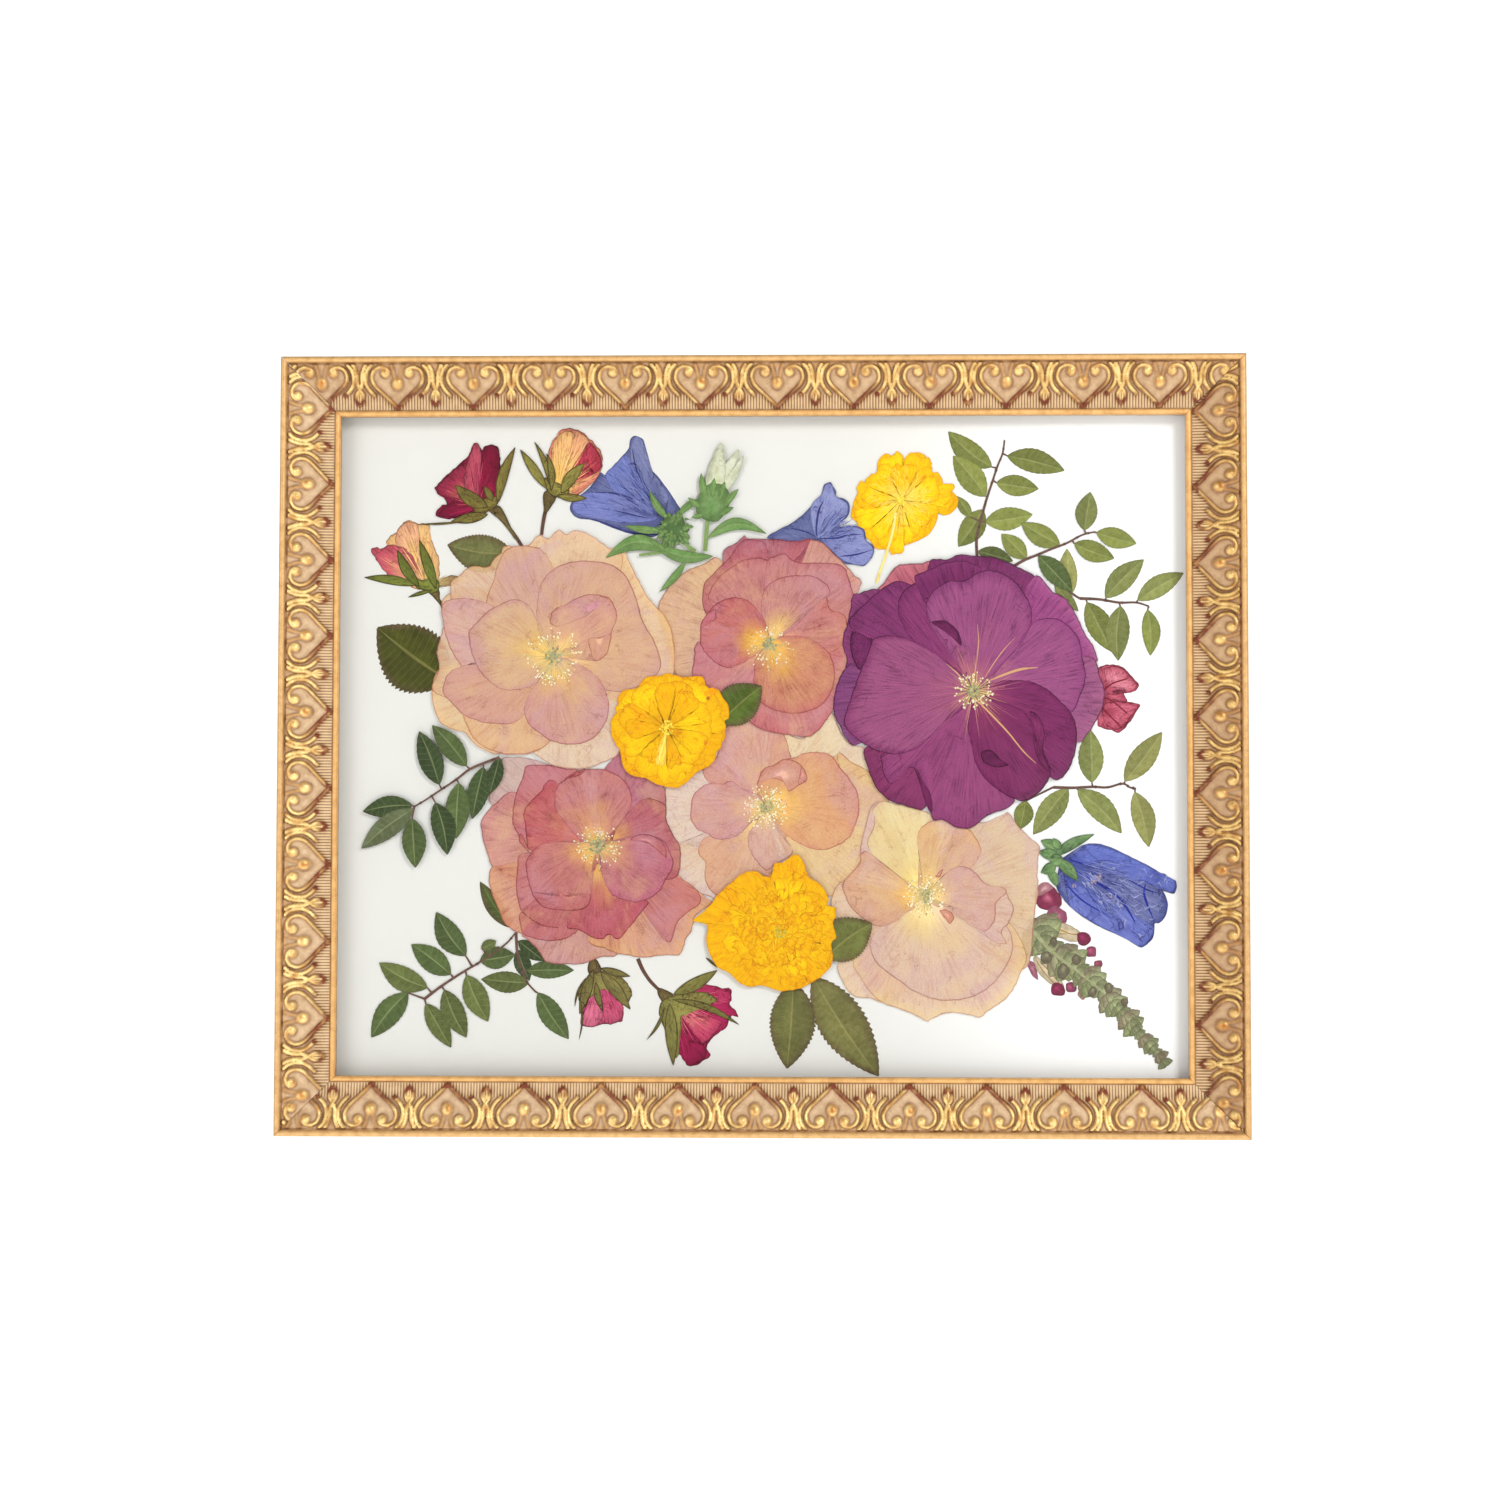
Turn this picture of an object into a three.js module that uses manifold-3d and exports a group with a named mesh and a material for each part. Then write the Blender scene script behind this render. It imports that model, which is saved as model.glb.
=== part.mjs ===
// Pressed flower frame: a gilded wooden picture frame that holds pressed flowers and leaves between
// a glass pane and a white board. Millimetres, +Z up, +X to the viewer's right, and the front looks
// along -Y. The origin is the middle of the whole object, behind the centre of the opening.

import * as THREE from "three";
import { mergeVertices } from "three/addons/utils/BufferGeometryUtils.js";
import Module from "manifold-3d";

const wasm = await Module();
wasm.setup();

// ---- driving dimensions ------------------------------------------------------------------------

const SIGHT_WIDTH = 343; // the visible opening
const SIGHT_HEIGHT = 267.5;
const RAIL_FACE = 24; // width of the moulding, seen from the front
const RAIL_DEPTH = 18; // back face to the top of the outer rim
const MITRE_GAP = 0.1; // hairline between two mitred ends
const RABBET_WIDTH = 7; // the step behind the sight edge that holds glass and boards
const RABBET_DEPTH = 9.6;

const GLASS_WIDTH = 355.6; // a standard 14 x 11 inch pane
const GLASS_HEIGHT = 279.4;
const GLASS_THICKNESS = 2;
const GLASS_BACK = 7.4; // depths are measured forwards from the back face of the rails
const BOARD_THICKNESS = 1.5;
const BOARD_FRONT = 5.2;
const BACKING_THICKNESS = 2.5;
const BACKING_FRONT = 3.65;

const LAYER_THICKNESS = 0.26; // a pressed specimen, slightly thicker than the petals themselves
const LAYER_PITCH = 0.3; // one specimen lies on another
const LAYER_FIRST = BOARD_FRONT + 0.05;
const TWIG_WIDTH = 0.9;

const POINT = { length: 12, width: 6, thickness: 0.4, driven: 5, depth: 0.7 };
const SLOT_CLEARANCE = 0.3;

const HANGER = { length: 44, height: 9, thickness: 0.8, lift: 1.4, foot: 7, ramp: 3, gap: 0.05 };
const HANGER_ABOVE_SIGHT = 15.5; // middle of the hanger plate above the sight edge
const TOOTH = { count: 9, pitch: 2.4, depth: 1.6 };
const NAIL = { shankRadius: 0.55, headRadius: 1.5, headThickness: 0.5, length: 8 };
const NAIL_HOLE_RADIUS = 0.85;
const HANGER_REACH = HANGER.gap + HANGER.lift + HANGER.thickness; // behind the rails

// ---- materials ---------------------------------------------------------------------------------

const finish = (color, roughness, metalness = 0, opacity = 1) =>
  new THREE.MeshStandardMaterial({
    color, roughness, metalness, opacity, transparent: opacity < 1,
  });

const GILDING = finish(0xd9ae5e, 0.42, 0.5);
const GLASS = finish(0xeef6f4, 0.03, 0, 0.2);
const BOARD = finish(0xf4f2ee, 0.9);
const BACKING = finish(0x8a6a48, 0.85);
const STEEL = finish(0xa9abad, 0.4, 0.9);
const BRASS = finish(0xc9a24d, 0.35, 0.9);

// ---- geometry helpers --------------------------------------------------------------------------

// A three.js geometry as a manifold solid, and back, for joining and cutting.
function toSolid(geometry) {
  const bare = geometry.clone();
  bare.deleteAttribute("normal");
  bare.deleteAttribute("uv");
  const merged = mergeVertices(bare, 1e-4);
  return new wasm.Manifold(new wasm.Mesh({
    numProp: 3,
    vertProperties: Float32Array.from(merged.attributes.position.array),
    triVerts: Uint32Array.from(merged.index.array),
  }));
}

function toGeometry(solid) {
  const mesh = solid.getMesh();
  const geometry = new THREE.BufferGeometry();
  geometry.setAttribute("position", new THREE.BufferAttribute(mesh.vertProperties, 3));
  geometry.setIndex(new THREE.BufferAttribute(mesh.triVerts, 1));
  geometry.computeVertexNormals();
  return geometry;
}

const joined = (geometries) =>
  toGeometry(geometries.map(toSolid).reduce((whole, piece) => whole.add(piece)));

const cut = (geometry, tools) =>
  toGeometry(tools.map(toSolid).reduce((rest, tool) => rest.subtract(tool), toSolid(geometry)));

// A box between two corners.
function boxBetween([x0, y0, z0], [x1, y1, z1]) {
  const box = new THREE.BoxGeometry(x1 - x0, y1 - y0, z1 - z0);
  return box.translate((x0 + x1) / 2, (y0 + y1) / 2, (z0 + z1) / 2);
}

// A flat shape drawn as the viewer sees it (x right, y up), given a thickness towards the viewer.
function plate(shape, depth, thickness) {
  const plateGeometry = new THREE.ExtrudeGeometry(shape, { depth: thickness, bevelEnabled: false });
  return plateGeometry.rotateX(Math.PI / 2).translate(0, -depth, 0);
}

// A smooth closed outline through hand-placed points.
function smoothOutline(points, stepsPerSpan = 2) {
  const knots = points.map(([x, z]) => new THREE.Vector3(x, z, 0));
  const curve = new THREE.CatmullRomCurve3(knots, true, "centripetal");
  const samples = curve.getPoints(points.length * stepsPerSpan).slice(0, -1);
  return new THREE.Shape(samples.map((p) => new THREE.Vector2(p.x, p.y)));
}

// A pointed oval leaf from its base to its tip, widest a little below the middle.
function leafOutline([baseX, baseZ, tipX, tipZ, width]) {
  const along = new THREE.Vector2(tipX - baseX, tipZ - baseZ);
  const across = new THREE.Vector2(-along.y, along.x).normalize().multiplyScalar(width / 2);
  const half = [[0.08, 0.42], [0.25, 0.86], [0.45, 1], [0.65, 0.86], [0.85, 0.46]];
  const at = ([t, w]) => [baseX + along.x * t + across.x * w, baseZ + along.y * t + across.y * w];
  const left = half.map(at);
  const right = half.map(([t, w]) => at([t, -w])).reverse();
  const corners = [[baseX, baseZ], ...left, [tipX, tipZ], ...right];
  return new THREE.Shape(corners.map(([x, z]) => new THREE.Vector2(x, z)));
}

// A twig or stem: a ribbon of one width along its points.
function twigOutline(points, width) {
  const path = points.map(([x, z]) => new THREE.Vector2(x, z));
  const side = path.map((p, i) => {
    const before = path[Math.max(i - 1, 0)];
    const after = path[Math.min(i + 1, path.length - 1)];
    const direction = after.clone().sub(before).normalize();
    return new THREE.Vector2(-direction.y, direction.x).multiplyScalar(width / 2);
  });
  const left = path.map((p, i) => p.clone().add(side[i]));
  const right = path.map((p, i) => p.clone().sub(side[i])).reverse();
  return new THREE.Shape([...left, ...right]);
}

// ---- the object --------------------------------------------------------------------------------

const frame = new THREE.Group();
frame.position.y = (RAIL_DEPTH - HANGER_REACH) / 2; // below, y = 0 is the back face of the rails

function add(name, geometry, material) {
  const mesh = new THREE.Mesh(geometry, material);
  mesh.name = name;
  frame.add(mesh);
  return mesh;
}

// ---- four mitred rails -------------------------------------------------------------------------
// The moulding's section: distance outwards from the sight edge, and depth from the back face.
// The rim is the highest line, a shallow cove carries the ornament, and a bead ends it.

const RAIL_SECTION = [
  [RABBET_WIDTH, 0], [RAIL_FACE, 0],
  [RAIL_FACE, 15.6], [23.7, 17.1], [22.9, RAIL_DEPTH], [22, RAIL_DEPTH], [21.3, 17.3], [20.7, 16.5],
  [17.2, 15.3], [13.4, 14.3], [9.6, 13.5], [5.8, 12.9], [2.5, 12.6],
  [2.2, 13.1], [1.6, 13.5], [0.9, 13.5], [0.3, 13], [0, 12.2],
  [0, RABBET_DEPTH], [RABBET_WIDTH, RABBET_DEPTH],
];

// Both ends of the extruded section are slid outwards by the distance from the sight edge, which
// makes the two 45 degree mitres.
function railGeometry(sightLength, sightDistance) {
  const section = new THREE.Shape(RAIL_SECTION.map(([w, d]) => new THREE.Vector2(w, d)));
  const bar = new THREE.ExtrudeGeometry(section, { depth: 1, bevelEnabled: false });
  const position = bar.attributes.position;
  for (let i = 0; i < position.count; i += 1) {
    const outwards = position.getX(i);
    const forwards = position.getY(i);
    const end = position.getZ(i) > 0.5 ? 1 : -1;
    const x = end * (sightLength / 2 + outwards - MITRE_GAP / Math.SQRT2);
    position.setXYZ(i, x, -forwards, sightDistance + outwards);
  }
  return bar;
}

// Glazier's points hold the backing in the rabbet: flat steel tongues driven into the rabbet wall.
function pointGeometry(x, sightDistance, clearance = 0) {
  const wall = sightDistance + RABBET_WIDTH;
  const low = [x - POINT.width / 2 - clearance, -POINT.depth - POINT.thickness - clearance,
    wall + POINT.driven - POINT.length];
  const high = [x + POINT.width / 2 + clearance, -POINT.depth + clearance,
    wall + POINT.driven + clearance];
  return boxBetween(low, high);
}

const pointX = (sightLength, side) => side * sightLength * 0.28;
const RAILS = [
  { name: "top", length: SIGHT_WIDTH, distance: SIGHT_HEIGHT / 2, turn: 0 },
  { name: "right", length: SIGHT_HEIGHT, distance: SIGHT_WIDTH / 2, turn: 1 },
  { name: "bottom", length: SIGHT_WIDTH, distance: SIGHT_HEIGHT / 2, turn: 2 },
  { name: "left", length: SIGHT_HEIGHT, distance: SIGHT_WIDTH / 2, turn: 3 },
];

// Two small nails fix the hanger to the back of the top rail.
const HANGER_Z = SIGHT_HEIGHT / 2 + HANGER_ABOVE_SIGHT;
const nailX = HANGER.length / 2 - HANGER.foot / 2;

function cylinderAlongY(radius, yLow, yHigh, x, z) {
  const cylinder = new THREE.CylinderGeometry(radius, radius, yHigh - yLow, 12);
  return cylinder.translate(x, (yLow + yHigh) / 2, z);
}

for (const rail of RAILS) {
  const slots = [-1, 1].map((side) =>
    pointGeometry(pointX(rail.length, side), rail.distance, SLOT_CLEARANCE));
  const nailHoles = rail.name === "top"
    ? [-nailX, nailX].map((x) => cylinderAlongY(NAIL_HOLE_RADIUS, -NAIL.length, 1, x, HANGER_Z))
    : [];
  const geometry = cut(railGeometry(rail.length, rail.distance), [...slots, ...nailHoles]);
  add(`rail_${rail.name}`, geometry, GILDING).rotation.y = rail.turn * Math.PI / 2;
  for (const side of [-1, 1]) {
    const point = add(`glazier_point_${rail.name}_${side < 0 ? "a" : "b"}`,
      pointGeometry(pointX(rail.length, side), rail.distance), STEEL);
    point.rotation.y = rail.turn * Math.PI / 2;
  }
}

// ---- glass, board and backing ------------------------------------------------------------------

function sheet(name, width, height, backDepth, thickness, material) {
  const low = [-width / 2, -backDepth - thickness, -height / 2];
  add(name, boxBetween(low, [width / 2, -backDepth, height / 2]), material);
}

sheet("glass_pane", GLASS_WIDTH, GLASS_HEIGHT, GLASS_BACK, GLASS_THICKNESS, GLASS);
sheet("flower_board", GLASS_WIDTH, GLASS_HEIGHT, BOARD_FRONT - BOARD_THICKNESS, BOARD_THICKNESS,
  BOARD);
sheet("backing_board", GLASS_WIDTH, GLASS_HEIGHT, BACKING_FRONT - BACKING_THICKNESS,
  BACKING_THICKNESS, BACKING);

// ---- sawtooth hanger and its nails -------------------------------------------------------------
// A steel strip bent so that its toothed middle stands off the wood, nailed through its two feet.

function hangerGeometry() {
  const end = HANGER.length / 2;
  const bend = end - HANGER.foot;
  const rise = bend - HANGER.ramp;
  const near = [[end, 0], [bend, 0], [rise, HANGER.lift]];
  const far = near.map(([x, y]) => [x, y + HANGER.thickness]);
  const mirrored = (list) => list.map(([x, y]) => [-x, y]).reverse();
  const section = [...near, ...mirrored(near), ...mirrored(far).reverse(), ...far.slice().reverse()];
  const shape = new THREE.Shape(section.map(([x, y]) => new THREE.Vector2(x, y)));
  const strip = new THREE.ExtrudeGeometry(shape, { depth: HANGER.height, bevelEnabled: false });
  strip.translate(0, 0, HANGER_Z - HANGER.height / 2);
  const low = HANGER_Z - HANGER.height / 2;
  const teeth = Array.from({ length: TOOTH.count }, (unused, i) => {
    const x = (i - (TOOTH.count - 1) / 2) * TOOTH.pitch;
    const notch = new THREE.Shape([
      new THREE.Vector2(x - TOOTH.pitch / 2 + 0.2, low - 1),
      new THREE.Vector2(x + TOOTH.pitch / 2 - 0.2, low - 1),
      new THREE.Vector2(x, low + TOOTH.depth),
    ]);
    return plate(notch, -HANGER.lift - HANGER.thickness - 1, HANGER.thickness + 2);
  });
  const holes = [-nailX, nailX].map((x) =>
    cylinderAlongY(NAIL_HOLE_RADIUS, -1, HANGER.thickness + 1, x, HANGER_Z));
  return cut(strip, [...teeth, ...holes]);
}

add("hanger", hangerGeometry().translate(0, HANGER.gap, 0), STEEL);

const HEAD_GAP = 0.1;
for (const [name, x] of [["hanger_nail_left", nailX], ["hanger_nail_right", -nailX]]) {
  const under = HANGER.thickness + HEAD_GAP;
  const profile = [[0, -NAIL.length + 1], [NAIL.shankRadius, -NAIL.length + 2.2],
    [NAIL.shankRadius, under], [NAIL.headRadius, under],
    [NAIL.headRadius, under + NAIL.headThickness], [0, under + NAIL.headThickness]];
  const points = profile.map(([r, y]) => new THREE.Vector2(r, y));
  add(name, new THREE.LatheGeometry(points, 12).translate(x, 0, HANGER_Z), BRASS);
}

// ---- pressed specimens -------------------------------------------------------------------------
// Each specimen is a thin solid of its own outline, on the layer where it was laid: 0 lies on the
// board and 6 under the glass. Every outline is drawn by hand from the middle of the opening.

const layerDepth = (layer) => LAYER_FIRST + layer * LAYER_PITCH;

function pressed(name, layer, color, outlines) {
  const plates = outlines.map((shape) => plate(shape, layerDepth(layer), LAYER_THICKNESS));
  const geometry = plates.length > 1 ? joined(plates) : plates[0];
  add(name, geometry, finish(color, 0.85));
}

// The place on a sprig's twigs that is nearest to a leaf's base.
function nearestOnTwigs(twigs, base) {
  const feet = twigs.flatMap((points) => points.slice(1).map((end, i) => {
    const from = new THREE.Vector3(points[i][0], points[i][1], 0);
    const to = new THREE.Vector3(end[0], end[1], 0);
    return new THREE.Line3(from, to).closestPointToPoint(base, true, new THREE.Vector3());
  }));
  return feet.reduce((best, foot) => (foot.distanceTo(base) < best.distanceTo(base) ? foot : best));
}

// Every leaf is joined to its twig by a short stalk.
function stalkOutline(twigs, [baseX, baseZ, tipX, tipZ]) {
  const base = new THREE.Vector3(baseX, baseZ, 0);
  const inLeaf = base.clone().lerp(new THREE.Vector3(tipX, tipZ, 0), 0.15);
  const foot = nearestOnTwigs(twigs, base);
  return twigOutline([[foot.x, foot.y], [inLeaf.x, inLeaf.y]], TWIG_WIDTH);
}

function sprig(name, layer, color, twigs, leaves) {
  pressed(name, layer, color, [
    ...twigs.map((points) => twigOutline(points, TWIG_WIDTH)),
    ...leaves.map((leaf) => stalkOutline(twigs, leaf)),
    ...leaves.map(leafOutline),
  ]);
}

// Garden roses, opened flat.
pressed("rose_peach", 4, 0xdfb496, [smoothOutline([
  [-130, 55], [-129.5, 62], [-121, 70.5], [-112, 73], [-104, 80], [-94.5, 85], [-90.5, 86.5],
  [-86, 84.5], [-82, 87.5], [-74, 87.3], [-66, 82.5], [-56.5, 80], [-52, 70], [-44, 56.5],
  [-39.5, 48], [-38.5, 36], [-43, 26], [-49, 10], [-57, -3], [-64, -9], [-75, -9.5], [-92, -4],
  [-104, -4.5], [-117, 0], [-132, 9], [-134, 20], [-131.5, 33], [-131, 45],
])]);
pressed("rose_mauve", 3, 0xc08084, [smoothOutline([
  [-43, 56], [-40, 64], [-30, 72], [-19, 75.5], [-8, 84], [8, 84], [23, 83.5], [30, 77], [41, 66],
  [44, 60], [42, 48], [36, 30], [31, 22], [29, 14], [20, 4.5], [10, 4], [0, 9], [-10, 14],
  [-22, 22], [-38, 28], [-43, 42],
])]);
pressed("rose_purple", 4, 0x8a3f73, [smoothOutline([
  [38, 62], [47, 64.5], [52, 69], [57, 73.5], [71, 75], [81, 77.5], [95, 76], [110, 71], [119, 62],
  [127, 52], [135, 38.5], [138.5, 20], [135.5, 9], [128, 1], [126, -8.5], [117, -16], [106, -23],
  [95, -27.5], [86, -33], [75, -31.5], [64, -25.5], [52, -23], [46, -14], [42, -2], [34, 3],
  [29.5, 14], [33, 30], [33.5, 42],
])]);
pressed("rose_pink", 2, 0xc8817e, [smoothOutline([
  [-60, -1], [-75, -2], [-90, 1], [-106, -5], [-110, -18], [-114, -33], [-110, -48], [-109, -60],
  [-104, -72], [-96, -78], [-88, -87], [-76, -88.5], [-60, -84.5], [-48, -86.3], [-33, -85],
  [-28, -73], [-20.5, -64], [-31, -55.5], [-33, -44], [-38, -31], [-39, -16.5], [-54, -11],
])]);
pressed("rose_coral", 1, 0xdca884, [smoothOutline([
  [-38, -20], [-24, -10], [-15, 3], [-4, 11], [8, 14], [30, 14], [42, 6], [50, -8], [50, -22],
  [42, -38], [34, -56], [22, -66], [4, -66], [-15, -61], [-21, -62.5], [-31, -55], [-33, -44],
  [-38, -33],
])]);
pressed("rose_cream", 2, 0xe6c49f, [smoothOutline([
  [45, -22], [40, -43], [31, -57], [28, -70], [31, -88], [40, -102], [53, -105.5], [66, -111.5],
  [82, -108.5], [92, -107], [102, -97], [109.5, -82], [112.5, -55], [112, -42], [99, -29], [85, -25],
  [62, -20],
])]);

// Round yellow flowers; the top one keeps its pale stem.
pressed("yellow_flower_left", 6, 0xf7c405, [smoothOutline([
  [-61, 4], [-58.5, 16], [-56.5, 21.5], [-51, 23], [-46, 27.7], [-38, 29], [-24.5, 27.5],
  [-18.5, 23.2], [-13.2, 11], [-14.6, 3], [-18.3, -5], [-25, -10], [-34, -17.2], [-47, -13.2],
  [-55.5, -10], [-57, -3],
])]);
pressed("yellow_flower_bottom", 6, 0xfbb904, [smoothOutline([
  [-27, -71], [-18, -61], [-8, -52.5], [1, -53], [6, -48], [14.5, -44], [18, -52], [27, -61],
  [28.5, -71], [30, -77], [29, -87], [22, -95], [10, -99], [-6, -97], [-16, -90.5], [-22, -81],
])]);
pressed("yellow_flower_top", 1, 0xf9cb0a, [
  smoothOutline([
    [36.5, 94], [39.5, 103], [46, 109], [47.5, 116], [50, 119], [56, 115.5], [60, 118.8],
    [67.5, 117], [69, 112], [73.8, 107.5], [80, 100.5], [74.5, 93.5], [70, 89.5], [62, 82.5],
    [54, 78], [47, 80], [42, 87],
  ]),
  twigOutline([[55, 90], [50, 79], [46.5, 66]], 1.6),
]);

// Blue bellflowers, and the leafy spray that carries the left one.
pressed("bellflower_left", 0, 0x4d5cae, [smoothOutline([
  [-79, 97.5], [-76, 93], [-62, 90], [-48, 85.5], [-42, 88], [-33.5, 97.5], [-42, 108.5],
  [-48, 116], [-48.5, 125], [-51.5, 126.8], [-54.5, 122], [-63.5, 111], [-69, 109.5], [-78, 101],
])]);
pressed("bellflower_spray", 5, 0x6f9150, [
  smoothOutline([[-41, 88], [-38, 93.5], [-33, 94], [-29.5, 90], [-30, 85], [-35, 80.5], [-40, 83]]),
  smoothOutline([[-27, 97], [-24.5, 109], [-21, 108], [-16.5, 121], [-10, 119.5], [-12, 105],
    [-17, 93], [-22, 91]]),
  leafOutline([-36, 90, -46, 104, 4]),
  leafOutline([-39, 87.5, -57, 89.5, 5]),
  leafOutline([-31, 90, -25, 99.5, 5]),
  leafOutline([-30, 77, -42, 62.5, 5.5]),
  leafOutline([-22.5, 85, -3, 91, 4]),
  leafOutline([-42, 82, -49, 76, 3]),
  twigOutline([[-63.5, 76], [-58, 83], [-51, 85.5], [-45, 82], [-36, 78], [-28, 78], [-18, 77]], 3.4),
  twigOutline([[-34, 84], [-27.5, 79]], 1),
  twigOutline([[-22.7, 78], [-22.5, 94]], 1),
]);
pressed("bellflower_middle", 2, 0x5a66b5, [smoothOutline([
  [3, 84.5], [12, 90.5], [21, 98.5], [26, 106.5], [28, 107.3], [31, 101.5], [36, 97], [32, 90.5],
  [38, 89.7], [46, 80.5], [41.5, 73], [32, 74], [22, 80], [10, 83],
])]);
pressed("bellflower_right", 1, 0x4458b0, [
  smoothOutline([
    [119, -54], [126, -43.5], [136, -39.8], [150, -45.5], [163.5, -52.5], [167.7, -57],
    [161.5, -59], [164, -65], [159, -72], [158, -78], [153, -81.5], [140, -75], [128, -67.5],
  ]),
  smoothOutline([[112.8, -50], [114, -42], [118, -37.8], [122, -42], [123, -50], [118, -57]]),
  leafOutline([120, -43, 134, -36, 3.6]),
]);

// Rosebuds.
pressed("rosebud_crimson", 1, 0x8f1038, [
  smoothOutline([
    [-134, 104.5], [-125, 114], [-118, 123], [-113, 120.5], [-108, 122.3], [-106, 108],
    [-107, 100.5], [-113, 95], [-121, 91], [-133.5, 94], [-130.5, 100],
  ]),
  leafOutline([-107, 101, -100.2, 120, 4]),
  twigOutline([[-110, 99], [-104, 91], [-97.5, 82]], 1.6),
]);
pressed("rosebud_peach", 1, 0xe79f6c, [
  smoothOutline([
    [-88, 104], [-87.5, 120], [-81, 130], [-70.5, 126], [-65, 115], [-71.5, 105.5], [-79, 100.2],
    [-84, 100],
  ]),
  leafOutline([-88, 105, -97.6, 119.5, 4.5]),
  twigOutline([[-86.5, 102], [-88.5, 96], [-90.3, 86]], 1.6),
]);
pressed("rosebud_red_peach", 0, 0xe0805f, [
  smoothOutline([
    [-160, 79.5], [-153.5, 84], [-146.5, 91.5], [-136, 90], [-131.7, 76], [-132, 64], [-141, 62.5],
    [-150, 66.5],
  ]),
  leafOutline([-140, 64.5, -162, 68.7, 3]),
  leafOutline([-133, 68, -123.5, 68.3, 5]),
  twigOutline([[-134.5, 63], [-130.6, 56]], 1.6),
]);
pressed("rosebud_pink", 0, 0xb63c68, [
  smoothOutline([
    [-70, -87.5], [-66, -87.5], [-64, -91.5], [-58.5, -94], [-55, -102], [-56, -111.5], [-66.5, -114],
    [-73, -113], [-74, -98], [-70.5, -92.5],
  ]),
  leafOutline([-66, -90.5, -53.5, -93.5, 2]),
]);
pressed("rosebud_red", 0, 0x9b1747, [
  smoothOutline([
    [-36, -100], [-29, -95], [-12, -99], [-9.5, -109], [-17, -115.5], [-21, -124.5], [-29, -130],
    [-35, -123], [-41, -110], [-40, -103],
  ]),
  leafOutline([-34, -98, -17.8, -90.7, 3.4]),
  twigOutline([[-49.8, -86], [-46.5, -93], [-41.5, -98.5], [-37, -102]], 1.4),
]);

// A foxglove-like flower spike and a small red floret.
pressed("flower_spike", 0, 0x8f9a68, [smoothOutline([
  [110, -73], [111, -62], [119.5, -58.5], [122, -68], [131.5, -76], [135, -84], [141, -92],
  [148, -100], [153, -105], [158, -113], [164.5, -127], [160, -129.5], [153, -121], [145, -114],
  [139, -106], [129, -102], [118, -100], [109.8, -88],
])]);
pressed("red_floret", 0, 0xb04452, [smoothOutline([
  [135, 31], [146, 32], [153, 24], [148, 19.5], [153.5, 16.5], [150, 9.5], [144.5, 5], [135, 10],
])]);

// Leafy sprigs: twigs, then leaves as base x, z, tip x, z and width.
sprig("sprig_top", 0, 0x78854a,
  [[[87.5, 74], [87.5, 85], [90.7, 97], [93, 106], [95.5, 113], [98, 119], [98.8, 125]]],
  [[94, 114, 76, 128, 12], [91, 101, 78.5, 118.5, 12], [98.4, 118.3, 123.5, 111.5, 10.5],
    [94.5, 107, 112.5, 104.8, 8.5], [91, 96, 80.3, 81, 10], [89, 93, 79.6, 101.5, 9],
    [89, 91, 110, 94.5, 10], [87.5, 79, 103, 74, 8]]);
sprig("sprig_upper_right", 1, 0x6c8040,
  [[[100, 72], [107, 76], [113, 78], [120, 81], [126, 83], [131, 86], [135, 87]],
    [[131, 86], [131.5, 88]]],
  [[108.5, 76.3, 97, 87, 7.5], [120, 80.5, 105.5, 91, 9.5], [131.5, 87.5, 133.5, 103, 8.5],
    [134.5, 86.7, 152.5, 82, 8], [125.5, 82.5, 143, 77, 8.5], [112, 77.5, 126, 63.5, 8],
    [103, 74, 114, 68, 5]]);
sprig("sprig_middle_right", 0, 0x7f8f50,
  [[[119, 61], [130, 59.7], [138, 59.3], [144, 58], [151, 57.8], [157.5, 56.5]]],
  [[127, 60, 119, 64.5, 6], [127.5, 61, 124, 80, 7.5], [138.5, 59.5, 155, 75.5, 10],
    [151, 58.5, 170.6, 70, 9], [131, 59, 141.5, 38, 11], [145, 57.5, 144.5, 34.5, 10],
    [156, 56, 157.5, 36.5, 7.5]]);
sprig("sprig_right", 0, 0x86955a,
  [[[106, -19], [116, -17.5], [124, -17], [133, -16.5], [140, -16.7], [146, -15.3], [151.5, -17.5]]],
  [[133.7, -15.5, 134, 6, 10.5], [146, -15, 162.3, 5.5, 10], [125, -17.5, 109.5, -36, 11],
    [127.5, -17.5, 145.7, -35.7, 10.5], [151, -17.8, 157.5, -41.5, 9.5], [108, -19.5, 104.5, -34, 8]]);
sprig("sprig_left", 5, 0x4d5c36,
  [[[-104, -4], [-112, -7], [-118, -9.5], [-123, -14], [-129, -17.5], [-133, -20.5], [-141, -25]],
    [[-106, -5.5], [-109.5, -12], [-110, -20]], [[-132.5, -20], [-132.8, -24]]],
  [[-118.5, -9, -134, 8, 9.5], [-129.8, -17, -139, 5.5, 10], [-140.5, -24.5, -162, -27, 8.5],
    [-140.5, -25, -162.5, -42.3, 9.5], [-142.5, -28, -140.7, -50, 9.5], [-132.8, -21.5, -127.5, -44.5, 10],
    [-122.5, -14, -123.5, -38, 10], [-112.5, -7.5, -118, -30, 9.5]]);
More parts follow.
